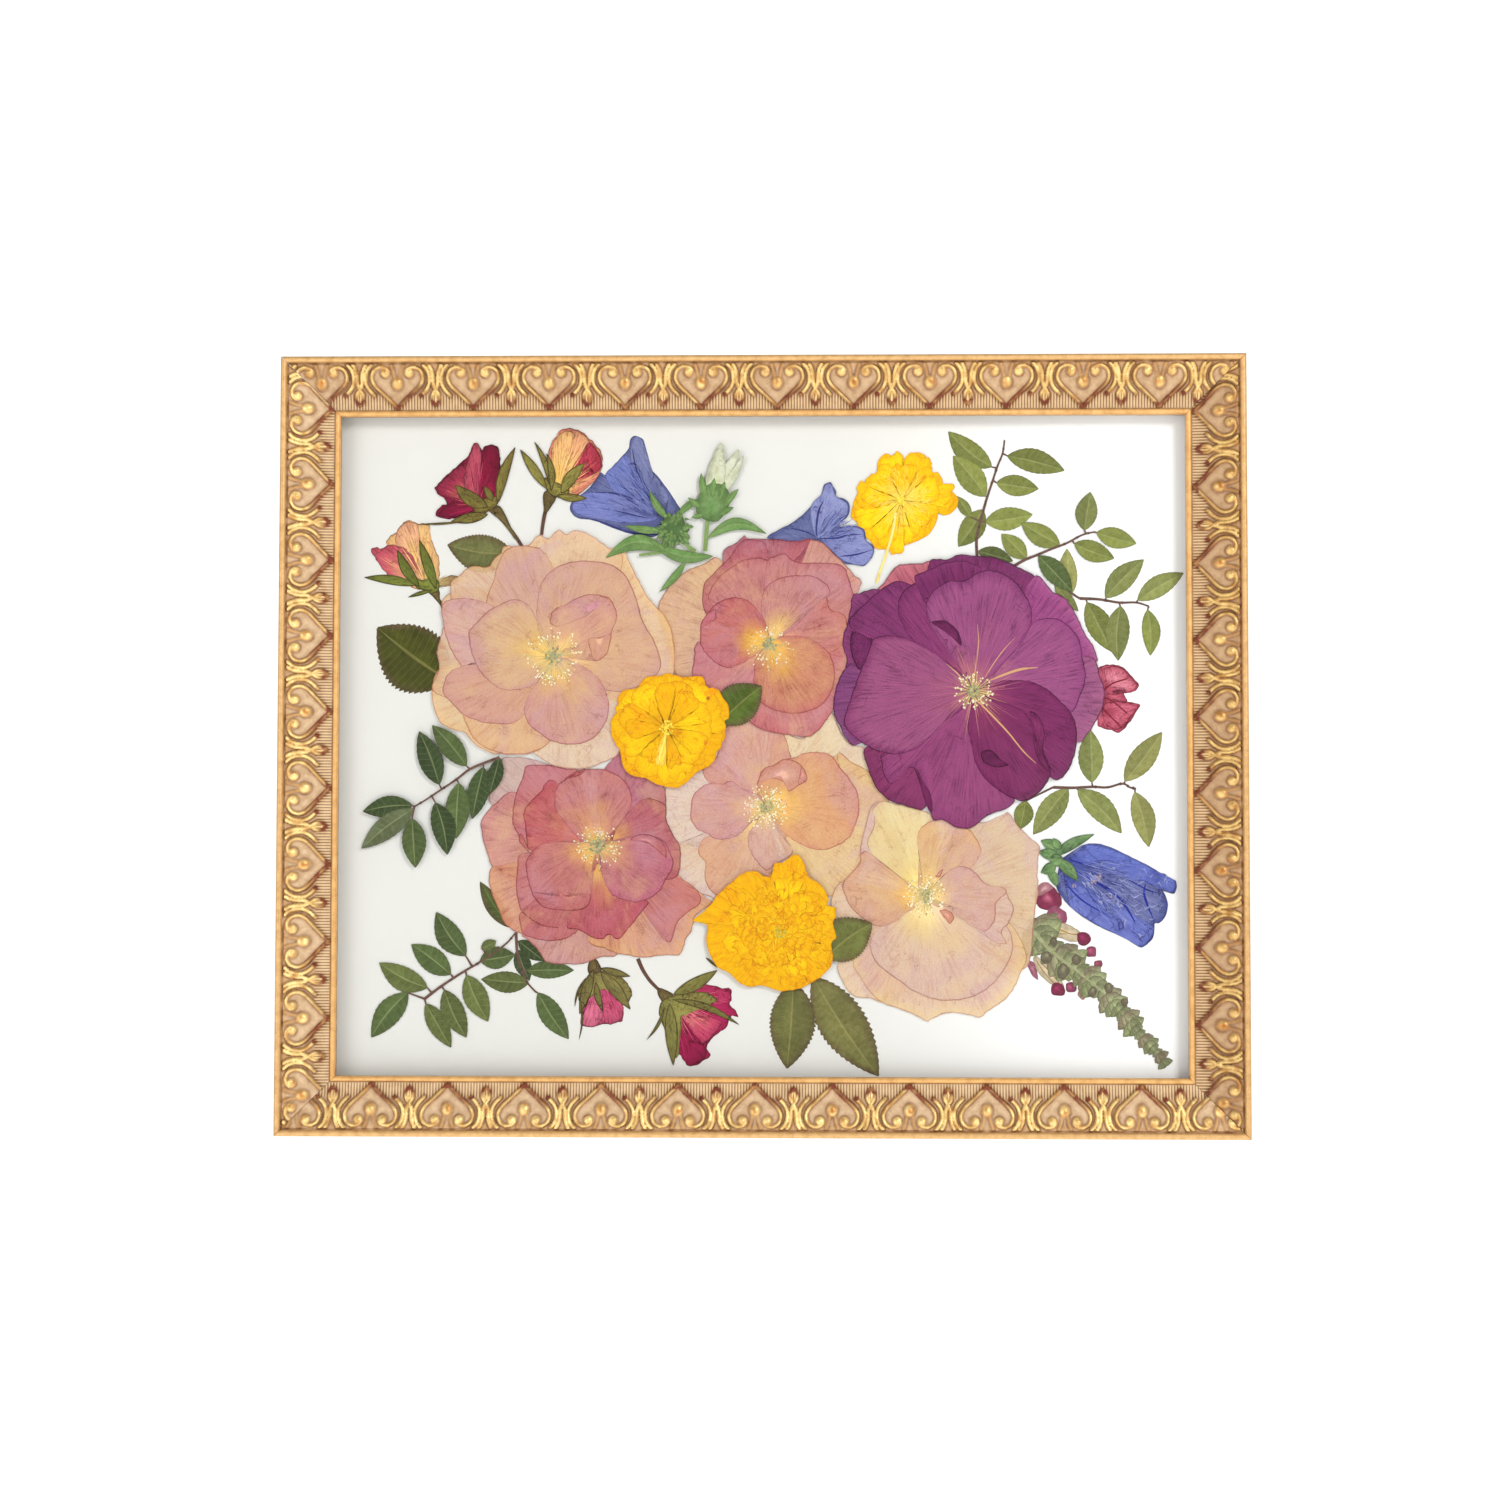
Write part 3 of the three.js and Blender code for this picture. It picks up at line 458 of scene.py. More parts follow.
# One pane of clear picture glass, 2 mm thick, lies in the rabbet and holds everything pressed
# against the board. It is a CAD node, so it only gets its finish here.
def coat(node, material):
    """Gives a CAD node its material."""
    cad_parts[node].data.materials.clear()
    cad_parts[node].data.materials.append(material)


picture_glass, _, wire = new_material("picture_glass")
tree = picture_glass.node_tree
clear = wire.node("BsdfTransparent", (), {"Color": (0.995, 0.998, 0.995, 1)})
sheen = wire.node("BsdfAnisotropic", (), {"Color": (1, 1, 1, 1), "Roughness": 0.03})
glint = wire.node("Fresnel", (), {"IOR": 1.45})
both = wire.node("MixShader", (), {0: glint * 0.16, 1: clear, 2: sheen})
tree.links.new(both.socket, tree.nodes["Material Output"].inputs["Surface"])
coat("glass_pane", picture_glass)

# The flowers are glued to smooth off-white mount board, with painted shade that darkens it toward its
# left side. A sheet of brown hardboard lies behind it in the rabbet and keeps it flat.
card, card_shader, wire = new_material("mount_card", Roughness=0.9)
place = wire.place()
fibre = place.noise(1400, 4, 0.6)
cloud = place.noise(9, 2, 0.5)
# Painted light and shade: the card is darker toward its left side and lighter toward its right.
painted_light_side = place.axis(0).step(0.02, 0.16)
smooth_card = painted_light_side.tint(linear(219, 218, 214), linear(245, 245, 245))
rough_card = painted_light_side.tint(linear(216, 215, 211), linear(242, 242, 242))
feed(card_shader, Normal=bump(fibre, 0.15, 0.05),
     Base_Color=(fibre.step(0.3, 0.7) * 0.4 + cloud.step(0.3, 0.7) * 0.3).tint(smooth_card, rough_card))
coat("flower_board", card)
hardboard, hardboard_shader, wire = new_material("hardboard", Roughness=0.8)
place = wire.place()
chips = place.stretch(1, 1, 2.5).noise(420, 5, 0.7)
weave = place.noise(2600, 2, 0.5)
browns = ((0.25, linear(96, 66, 40)), (0.5, linear(134, 98, 62)), (0.8, linear(164, 126, 86)))
feed(hardboard_shader, Base_Color=chips.node("ValToRGB", {"stops": browns}, {"Fac": chips}),
     Roughness=chips.step(0.2, 0.8, 0.65, 0.9), Normal=bump(chips * 0.6 + weave * 0.4, 0.4, 0.15))
coat("backing_board", hardboard)

# Flat steel points, pressed into the rails' inner sides, hold the backing in. A zinc-plated sawtooth
# hanger is nailed to the back of the top rail with two brass nails.
zinc, zinc_shader, wire = new_material("zinc_plate", Metallic=1.0, Roughness=0.4)
place = wire.place()
rolled = place.stretch(0.06, 1, 1).noise(2200, 3, 0.6)
spangle = place.noise(300, 3, 0.6)
feed(zinc_shader, Base_Color=spangle.step(0.35, 0.65).tint(linear(150, 152, 156), linear(198, 200, 202)),
     Roughness=rolled.step(0.3, 0.7, 0.28, 0.5), Normal=bump(rolled, 0.25, 0.03))
brass, brass_shader, wire = new_material("brass_nail", Metallic=1.0, Roughness=0.35)
place = wire.place()
tarnish = place.noise(900, 4, 0.6)
feed(brass_shader, Base_Color=tarnish.step(0.35, 0.7).tint(linear(212, 172, 92), linear(156, 118, 58)),
     Roughness=tarnish.step(0.3, 0.7, 0.25, 0.5), Normal=bump(tarnish, 0.2, 0.03))
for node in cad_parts:
    if node == "hanger" or node.startswith("glazier_point"):
        coat(node, zinc)
    elif node.startswith("hanger_nail"):
        coat(node, brass)


# Six garden roses, opened, pressed flat until each petal is a translucent sheet, and glued down.
# Petals are laid from the back of the flower to the front, and each has fine veins that fan out
# from its root, a darker rim, and its own blush. Stamens stand round a green heart.
def rgb(*colour):
    """A colour given as 0 to 255 on a screen, as an array that can be mixed and shaded."""
    return np.array(linear(*colour)[:3])


def soft_step(value, low, high):
    """0 below the low value, 1 above the high one, and a smooth rise between."""
    t = np.clip((value - low) / (high - low), 0, 1)
    return t * t * (3 - 2 * t)


def wander(x, z, scale, seed):
    """Smooth noise of about -1 to 1 at points in millimetres."""
    return np.array([noise.noise((a * scale, b * scale, seed)) for a, b in zip(x, z)])


def around(centre, reach, angle):
    """The point at that reach and angle from a centre."""
    return centre[0] + reach * math.cos(angle), centre[1] + reach * math.sin(angle)


FILAMENT, ANTHER = rgb(214, 190, 122), rgb(232, 220, 184)
POLLEN, PISTIL = rgb(150, 120, 70), rgb(160, 162, 120)
NO_RIM = 9.0
FRONT_GAP, BILLOW, THINNEST = 0.02, 0.02, 3


class Pressing:
    """Sheets of one specimen, gathered from the board up."""

    def __init__(self):
        self.points, self.faces, self.uvs, self.levels = [], [], [], []
        self.tints, self.rims, self.solids = [], [], []
        self.level = 0

    def add(self, x, z, faces, uvs, tint, rim, solid, lift=0.0):
        """Points and faces on the level that the pressing has reached."""
        start = sum(len(block) for block in self.points)
        self.points.append(np.stack([x, z], 1))
        self.levels.append(np.full(len(x), float(self.level)) + lift)
        self.faces += [tuple(start + corner for corner in face) for face in faces]
        self.uvs += uvs
        self.tints.append(tint)
        self.rims.append(rim)
        self.solids.append(solid)

    def sheet(self, outline, root, inner, outer, rim=None, blush=0.45, rings=9, torn=0.36, veins=0.75,
              steps=6):
        """A petal: a sheet of that outline, with veins that start at its root."""
        self.level += 1
        edge = smooth_curve(outline, steps, closed=True)
        edge = edge + torn * np.stack([wander(edge[:, 0], edge[:, 1], 0.55, self.level),
                                       wander(edge[:, 0], edge[:, 1], 0.55, self.level + 9.5)], 1)
        count = len(edge)
        root = np.asarray(root, float)
        share = np.linspace(0.02, 1, rings) ** 0.85
        grid = root + (edge - root)[None] * share[:, None, None]
        x, z = grid[..., 0].ravel(), grid[..., 1].ravel()
        reach = np.linalg.norm(edge - root, axis=1)
        radius = np.repeat(share, count)
        distance = ((1 - share)[:, None] * reach[None]).ravel()
        sides = np.linalg.norm(np.roll(edge, -1, 0) - edge, axis=1)
        run = np.concatenate([[0], np.cumsum(sides)]) / veins
        patchy = wander(x, z, 0.09, self.level * 3.1) * 0.28 + wander(x, z, 0.3, self.level) * 0.12
        mixed = soft_step(radius + patchy, blush - 0.5, blush + 0.2)[:, None]
        tint = np.asarray(inner) * (1 - mixed) + np.asarray(outer) * mixed
        if rim is not None:
            margin = soft_step(4.5 - distance + 2 * patchy * 4, 0, 4.5)[:, None] * 0.8
            tint = tint * (1 - margin) + np.asarray(rim) * margin
        faces, uvs = [], []
        for i in range(rings - 1):
            for j in range(count):
                k = (j + 1) % count
                faces.append((i * count + j, i * count + k, (i + 1) * count + k, (i + 1) * count + j))
                uvs += [(run[j], share[i]), (run[j + 1], share[i]),
                        (run[j + 1], share[i + 1]), (run[j], share[i + 1])]
        faces.append(tuple(reversed(range(count))))
        uvs += [(run[j], 0) for j in reversed(range(count))]
        self.add(x, z, faces, uvs, tint, distance, 1 - soft_step(radius, 0.18, 0.4))

    def petals(self, table, root, blush=0.45):
        """Petals from the back of the flower to the front, with their colours at root, body and rim."""
        for outline, inner, outer, rim in table:
            self.sheet(outline, root, inner, outer, rim, blush)

    def leaf(self, base, tip, half_width, dark, light, bend=0.04, teeth=0, edge=None, rows=18,
             notch=0.08):
        """A leaf blade with its midrib along the middle, and UVs that run along it and across it."""
        self.level += 1
        base, tip = np.asarray(base, float), np.asarray(tip, float)
        rows = max(rows, teeth * 4)
        t = np.linspace(0, 1, rows)
        axis = tip - base
        span = float(np.linalg.norm(axis))
        side = np.array([-axis[1], axis[0]]) / span
        spine = base + axis * t[:, None] + side * (np.sin(math.pi * t) * bend * span)[:, None]
        width = half_width * np.clip(np.sin(math.pi * t ** 0.88), 0.03, None) ** 0.8
        if teeth:
            width = width * (1 - notch + 1.5 * notch * ((t * teeth) % 1))
        across = np.linspace(-1, 1, 9)
        reach = width[:, None] * across[None] * (1 + 0.06 * np.sign(across))
        grid = spine[:, None, :] + side * reach[..., None]
        x, z = grid[..., 0].ravel(), grid[..., 1].ravel()
        # Painted light and shade: one half of the blade is lighter than the other.
        mixed = 0.5 + 0.5 * wander(x, z, 0.18, self.level * 1.7) + 0.25 * np.tile(across, rows)
        mixed = np.clip(mixed, 0, 1)[:, None]
        tint = dark * (1 - mixed) + light * mixed
        rim = (width[:, None] * (1 - np.abs(across))[None]).ravel()
        if edge is not None:
            margin = soft_step(3.2 - rim + 1.6 * wander(x, z, 0.2, self.level), 0, 3.2)[:, None] * 0.75
            tint = tint * (1 - margin) + edge * margin
        faces, uvs = [], []
        for i in range(rows - 1):
            for j in range(8):
                faces.append((i * 9 + j, i * 9 + j + 1, (i + 1) * 9 + j + 1, (i + 1) * 9 + j))
                uvs += [(t[i] * span / 3, across[j]), (t[i] * span / 3, across[j + 1]),
                        (t[i + 1] * span / 3, across[j + 1]), (t[i + 1] * span / 3, across[j])]
        self.add(x, z, faces, uvs, tint, rim, np.zeros(len(x)))

    def grain(self, x, z, size, colour, lift):
        """A small blob, such as an anther."""
        angles = np.linspace(0, 2 * math.pi, 6)[:-1]
        xs, zs = np.append(x + size * np.cos(angles), x), np.append(z + size * np.sin(angles), z)
        faces = [(i, (i + 1) % 5, 5) for i in range(5)]
        self.add(xs, zs, faces, [(0, 0)] * 15, np.tile(colour, (6, 1)), np.full(6, NO_RIM), np.ones(6), lift)
        self.levels[-1][5] += 1.2

    def thread(self, path, width, colour, lift=0.0):
        """A ribbon along a path, such as a filament or a twig."""
        path = np.asarray(path, float)
        along = np.gradient(path, axis=0)
        along /= np.linalg.norm(along, axis=1)[:, None] + 1e-9
        side = np.stack([-along[:, 1], along[:, 0]], 1) * (np.broadcast_to(width, len(path)) / 2)[:, None]
        rows = np.stack([path + side, path, path - side], 1).reshape(-1, 2)
        corners = [i * 3 + j for i in range(len(path) - 1) for j in (0, 1)]
        faces = [(a, a + 1, a + 4, a + 3) for a in corners]
        self.add(rows[:, 0], rows[:, 1], faces, [(0, 0)] * 4 * len(faces), np.tile(colour, (len(rows), 1)),
                 np.full(len(rows), NO_RIM), np.ones(len(rows)), lift)
        self.levels[-1][1::3] += 0.8

    def strand(self, path, width, colour):
        """A smooth thread on a level of its own."""
        self.level += 0.5
        self.thread(smooth_curve(path, 4), width, colour)

    def stamens(self, centre, near, far, count, seed, heart=3.4, spread=None):
        """Filaments with pale anthers round a green heart."""
        draw = random.Random(seed)
        self.level += 2
        for k in range(count):
            angle = draw.uniform(0, 2 * math.pi)
            reach = draw.uniform(near, far) * (spread(angle) if spread else 1)
            bend = draw.uniform(-0.25, 0.25)
            path = [around(centre, reach * t, angle + bend * t) for t in (0.15, 0.45, 0.75, 1.0)]
            self.thread(path, 0.2, FILAMENT * draw.uniform(0.7, 1.0))
            tone = draw.uniform(0.88, 1.12)
            self.grain(*path[-1], draw.uniform(0.28, 0.48), ANTHER * tone, draw.uniform(0.5, 2))
            if draw.random() < 0.5:
                x, z = path[-1]
                self.grain(x + draw.uniform(-0.5, 0.5), z + draw.uniform(-0.5, 0.5), 0.3, POLLEN, 0.3)
        self.level += 2
        for k in range(int(heart * 16)):
            angle, reach = draw.uniform(0, 2 * math.pi), heart * draw.random() ** 0.6
            self.grain(*around(centre, reach, angle), draw.uniform(0.35, 0.6),
                       PISTIL * draw.uniform(0.5, 1.1), draw.uniform(0, 1.5))

    def press(self, name, node, material):
        """Makes the piece, with its sheets spaced evenly through the depth of its CAD node."""
        low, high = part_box(node)
        points = np.vstack(self.points)
        levels = np.concatenate(self.levels)
        back, front = high.y / MM, low.y / MM + FRONT_GAP
        share = (levels - levels.min()) / max(np.ptp(levels), THINNEST)
        y = back + (front - back) * share + BILLOW * wander(points[:, 0], points[:, 1], 0.12, 4.4)
        points = np.stack([points[:, 0], y, points[:, 1]], 1)
        piece = add_piece(name, points, self.faces, node, material)
        carry(piece, {"tint": np.vstack(self.tints), "rim": np.concatenate(self.rims),
                      "solid": np.concatenate(self.solids)}, "veins", self.uvs)


def petal_material(name, see_through, vein_colour, vein_amount, rim_colour, rim_and_edge_shadow, relief=0.5,
                   roughness=0.72, crease_shade=0.3, mottle=0.16, drift=0.0, deepen=0.0):
    """Dried petal tissue: the petal's own tint, fine fanned veins, a darker rim and slight wrinkles.
    The rim's thin edge stripe is partly painted shadow, and the wrinkles' folds get painted shade.
    """
    material, shader, wire = new_material(name, Roughness=roughness, Specular_IOR_Level=0.16)
    place = wire.place()
    tint = wire.layer("tint", 0)
    rim = wire.layer("rim")
    solid = wire.layer("solid")
    fan = wire.node("UVMap", {"uv_map": "veins"})
    veins = fan.stretch(0.9, 5, 1).noise(1.0, 3, 0.6, 0.25)
    broad = fan.stretch(0.22, 2.2, 1).noise(1.0, 2, 0.5, 0.3)
    tissue = place.noise(1500, 2, 0.5)
    blotch = place.noise(110, 3, 0.6)
    wrinkle = place.noise(75, 3, 0.6, 1.2)
    crease = wire.maths("ABSOLUTE", wrinkle - 0.5).step(0.011, 0.003) * blotch.step(0.42, 0.6)
    colour = (veins.step(0.5, 0.72) * vein_amount).tint(tint, vein_colour, "MULTIPLY")
    colour = (veins.step(0.5, 0.28) * vein_amount * 0.5).tint(colour, linear(255, 236, 214), "SOFT_LIGHT")
    cloud = place.noise(42, 4, 0.65, 0.6)
    colour = (cloud.step(0.5, 0.68) * drift).tint(colour, linear(204, 156, 176))
    colour = (cloud.step(0.5, 0.34) * drift * 0.8).tint(colour, linear(236, 196, 132))
    faded = broad.step(0.52, 0.7) * 0.22 + blotch.step(0.5, 0.75) * mottle + deepen
    colour = faded.tint(colour, vein_colour, "MULTIPLY")
    colour = (tissue.step(0.35, 0.7) * 0.16).tint(colour, linear(255, 255, 255), "OVERLAY")
    # Painted shade: the wrinkles' folds are darkened with the rim colour.
    colour = (crease * crease_shade).tint(colour, rim_colour, "MULTIPLY")
    # A thin dark stripe along each petal's edge: partly the dried rim, partly painted shadow of the edge.
    edge = rim.step(0.75, 0.1) * rim_and_edge_shadow * blotch.step(0.2, 0.6, 0.6, 1.0)
    feed(shader, Base_Color=edge.tint(colour, rim_colour, "MULTIPLY"),
         Normal=bump(veins * 0.5 + broad * 0.6 + tissue * 0.15 - crease * 0.6, relief, 0.16))
    if see_through:
        alpha = (1 - see_through * (1 - solid) * rim.step(0.1, 0.7, 0.55, 1.0)
                 * veins.step(0.7, 0.4, 0.8, 1.0))
        feed(shader, Alpha=alpha)
    return material


PEACH_TISSUE = petal_material("peach_petals", 0.34, linear(214, 170, 164), 0.55, linear(176, 118, 106), 0.8,
                              drift=0.34)
MAUVE_TISSUE = petal_material("mauve_petals", 0.26, linear(178, 132, 148), 0.56, linear(154, 88, 98), 0.8,
                              mottle=0.2, drift=0.3, deepen=0.12)
PURPLE_TISSUE = petal_material("purple_petals", 0.07, linear(146, 94, 134), 0.62, linear(110, 60, 100), 0.85,
                               relief=0.8, roughness=0.55, deepen=0.08)

rose = Pressing()
HEART_AT = (-84.5, 36)
YELLOW, PEACH, PINK, LILAC = rgb(234, 190, 106), rgb(226, 184, 146), rgb(214, 162, 148), rgb(206, 152, 152)
PEACH_PETALS = (
    ([(-93, -3), (-84, -8.5), (-72, -9.5), (-62, -6), (-57, -2), (-52, 10), (-56, 22), (-70, 22), (-88, 10),
      (-97, 2)], rgb(226, 196, 160), rgb(228, 196, 166), None),
    ([(-134, 25), (-134, 17), (-131, 9.5), (-126, 6.5), (-121, 5), (-116, 0), (-108, -3.5), (-93, -3),
      (-86, 4), (-88, 28), (-112, 36), (-130, 32)], rgb(230, 190, 140), rgb(232, 194, 146),
     rgb(232, 184, 124)),
    ([(-130, 60), (-129.5, 50), (-131, 44), (-132.5, 38), (-131.5, 31), (-134, 22), (-120, 20), (-104, 36),
      (-104, 56), (-117, 64)], rgb(228, 190, 150), rgb(230, 194, 152), rgb(222, 178, 136)),
    ([(-57, 80), (-54.5, 76), (-50, 67), (-46, 60), (-40.5, 54), (-37, 48), (-35.5, 40), (-35.5, 30),
      (-40, 21), (-56, 16), (-74, 34), (-72, 62), (-63, 76)], rgb(234, 194, 138), rgb(230, 188, 150),
     rgb(238, 190, 124)),
    ([(-106, 80), (-100, 81), (-95, 82), (-91, 86), (-87, 84.5), (-83, 88), (-80, 86.3), (-76, 87.8),
      (-70, 86), (-66, 83), (-62, 80.5), (-57, 80), (-60, 66), (-82, 50), (-104, 62)], rgb(228, 190, 150),
     rgb(230, 190, 150), rgb(232, 186, 138)),
    ([(-127, 65), (-124, 69), (-119, 73), (-112, 73), (-108, 77.5), (-102, 79), (-97, 72), (-96, 56),
      (-108, 48), (-124, 52)], rgb(226, 182, 142), rgb(222, 182, 152), rgb(230, 186, 134)),
    ([(-104, 80), (-108, 73), (-109.5, 67), (-112, 61), (-111, 55), (-100, 43), (-87, 44), (-83, 62),
      (-88, 78), (-96, 81.5)], rgb(222, 176, 144), rgb(214, 170, 152), rgb(222, 174, 140)),
    ([(-130, 58), (-130, 50), (-128, 42), (-124, 34.5), (-120, 30), (-108, 27), (-95, 36), (-98, 50),
      (-110, 57), (-121, 60)], YELLOW, rgb(218, 174, 162), rgb(216, 166, 150)),
    ([(-121, 13), (-119, 6), (-115.5, 1), (-110, -2), (-103, -3.7), (-94, -3), (-86, 2), (-82, 20),
      (-92, 28), (-112, 22)], YELLOW, rgb(228, 184, 144), rgb(226, 176, 134)),
    ([(-129, 27), (-129.7, 21), (-126, 17), (-121, 12), (-115, 9.8), (-108, 8.6), (-101, 9), (-96, 13),
      (-89, 22), (-87, 32), (-100, 37), (-116, 34), (-125, 31)], YELLOW, PINK, rgb(208, 152, 146)),
    ([(-90, 45), (-91.7, 51), (-91.5, 58), (-90, 66), (-86, 71), (-80, 74.3), (-72, 75.2), (-63, 74.3),
      (-56, 70), (-51.5, 61), (-48, 50), (-43, 41), (-41, 32), (-46, 26), (-56, 22), (-66, 23), (-76, 29),
      (-84, 36)], rgb(232, 186, 130), rgb(217, 171, 145), rgb(207, 156, 146)),
    ([(-90, 27), (-95, 20), (-96.5, 14), (-95, 9), (-90, 4.5), (-85, 1.5), (-79, 0.4), (-73.5, 0.5),
      (-68, 3), (-64, 8), (-62, 14), (-63, 21), (-67, 28), (-76, 34), (-84, 35)], YELLOW, PINK,
     rgb(206, 146, 150)),
    ([(-88, 40), (-91, 47), (-93, 54), (-96.5, 58.3), (-101, 59.6), (-106, 58), (-111, 55), (-115.5, 51),
      (-119, 47), (-119.3, 43), (-118, 37), (-116, 32), (-112, 27), (-107, 23), (-101, 22.4), (-96, 23),
      (-91.5, 26), (-86, 33)], rgb(236, 192, 96), rgb(222, 182, 146), LILAC),
    ([(-86.3, 50), (-85, 55), (-80, 57.5), (-74, 60.5), (-69, 61.5), (-63, 60.5), (-60, 57), (-58.8, 52),
      (-61, 46), (-62, 40), (-64, 36), (-68, 34.3), (-70, 38), (-70.5, 42), (-76, 40), (-82, 40),
      (-85, 46)], rgb(236, 190, 112), rgb(218, 164, 146), rgb(208, 142, 134)))
rose.petals(PEACH_PETALS, HEART_AT)
rose.sheet([(-86.3, 50), (-85, 54.6), (-80, 57.5), (-74, 60.5), (-69, 61.5), (-62.5, 60), (-66, 57),
            (-72, 52.4), (-78, 50), (-83, 48.3)], (-66, 57), rgb(192, 132, 146), rgb(216, 164, 150),
           rgb(204, 146, 140))
rose.sheet([(-70.5, 43), (-69.5, 38), (-68, 34.4), (-64, 36), (-62, 40), (-61.5, 45), (-66, 44)], (-66, 43),
           rgb(222, 176, 140), rgb(212, 154, 136), None)
rose.stamens(HEART_AT, 7.5, 12, 90, 3, 3.6)
rose.press("pressed_rose_peach", "rose_peach", PEACH_TISSUE)

rose = Pressing()
HEART_AT = (3.5, 42)
ROSE_PINK, GOLDEN = rgb(203, 136, 133), rgb(236, 184, 88)
MAUVE_PETALS = (
    ([(-42.2, 56), (-40.5, 60.5), (-36, 67), (-30, 71.5), (-24, 73.7), (-17, 76), (-8, 60), (-8, 38),
      (-20, 24), (-33, 27), (-36.5, 33), (-38.5, 42), (-41, 50)], rgb(224, 178, 130), rgb(220, 176, 138),
     rgb(218, 168, 126)),
    ([(19, 84), (25, 82.5), (30, 77.5), (34, 73.5), (38, 69), (40.7, 66), (38, 60), (36, 52), (33, 36),
      (18, 38), (6, 50), (4, 72), (8, 79), (13, 82.5)], rgb(222, 160, 124), rgb(214, 152, 134),
     rgb(210, 148, 130)),
    ([(-16, 78), (-10, 83), (-7, 85.5), (-5, 84.3), (5, 84), (15, 83.2), (20, 84), (14, 76), (4, 66),
      (-12, 64)], rgb(200, 118, 122), rgb(186, 104, 116), rgb(160, 76, 96)),
    ([(-24.3, 60), (-23.3, 66), (-19, 71), (-13, 77), (-9, 82.5), (-5, 84), (1, 82.5), (3, 74), (1, 58),
      (-4, 48), (-16, 50), (-23, 54)], rgb(210, 134, 126), rgb(192, 112, 120), rgb(168, 82, 100)),
    ([(-21, 58), (-21, 63), (-18, 68), (-12, 73), (-7, 75.8), (0, 76.2), (5, 72), (5, 54), (0, 46),
      (-12, 50)], GOLDEN, ROSE_PINK, rgb(196, 114, 120)),
    ([(2, 74), (5, 77), (9.5, 78), (14, 74.7), (24, 74.3), (33, 73), (36, 66), (38, 58), (37, 50),
      (36.5, 40), (18, 38), (6, 44), (1, 60)], rgb(224, 160, 118), rgb(203, 138, 133), rgb(196, 118, 126)),
    ([(-28.3, 30), (-27.5, 36), (-27, 40.5), (-24, 42.5), (-10, 42), (2, 40), (0, 28), (-3, 15), (-10, 20),
      (-18, 22), (-25, 23.5), (-28.5, 26)], GOLDEN, rgb(204, 130, 134), rgb(196, 116, 126)),
    ([(-3, 27), (-4.5, 18), (-6, 11), (0, 6.5), (8, 4.6), (13, 3.9), (18, 3.2), (22, 5), (25.5, 9),
      (28.8, 14), (31, 20), (33.5, 27), (36, 36), (32, 42), (14, 45)], GOLDEN, rgb(204, 124, 124),
     rgb(196, 106, 116)),
    ([(11, 46), (16, 50.5), (21, 57), (26, 61), (28, 55.5), (34, 52.5), (34.5, 44), (29, 38), (18, 38),
      (8, 42)], rgb(226, 166, 116), rgb(206, 136, 130), rgb(204, 124, 112)),
    ([(0, 53), (0, 59), (1.5, 64), (5, 67), (10, 68.8), (16, 69.2), (21, 68.8), (26, 66), (28, 62),
      (25.5, 60.3), (19, 54), (11, 46), (4, 43)], rgb(232, 192, 116), rgb(205, 144, 138),
     rgb(200, 130, 130)),
    ([(-25, 45), (-24.5, 50), (-22, 53.5), (-19.5, 57), (-15, 59.5), (-10, 60.2), (-5, 58.5), (-1, 54.3),
      (1.5, 50), (3, 44), (2, 38), (-3, 36), (-8, 33.3), (-13, 31.5), (-18, 33), (-22, 36.5), (-25, 41)],
     rgb(240, 186, 72), rgb(202, 118, 114), rgb(192, 100, 108)),
    ([(-2, 36), (-3, 29), (-3, 25), (-0.5, 18), (4, 14.6), (9, 13.3), (15, 13), (22, 15), (27, 19),
      (29.8, 27), (29, 34), (26.5, 38.5), (22, 42), (17, 44), (12, 44.6), (6, 43.5)], rgb(240, 186, 74),
     rgb(212, 144, 114), rgb(196, 110, 110)))
rose.petals(MAUVE_PETALS, HEART_AT)
rose.sheet([(-24.8, 48), (-22.5, 53.3), (-19, 55.5), (-18.5, 51.5), (-21, 50)], (-20, 53), rgb(178, 84, 98),
           rgb(196, 108, 116))
rose.stamens((3, 41), 5, 10.5, 52, 8, 3.0, lambda a: 1.0 if math.sin(a) < 0.4 else 0.7)
rose.press("pressed_rose_mauve", "rose_mauve", MAUVE_TISSUE)

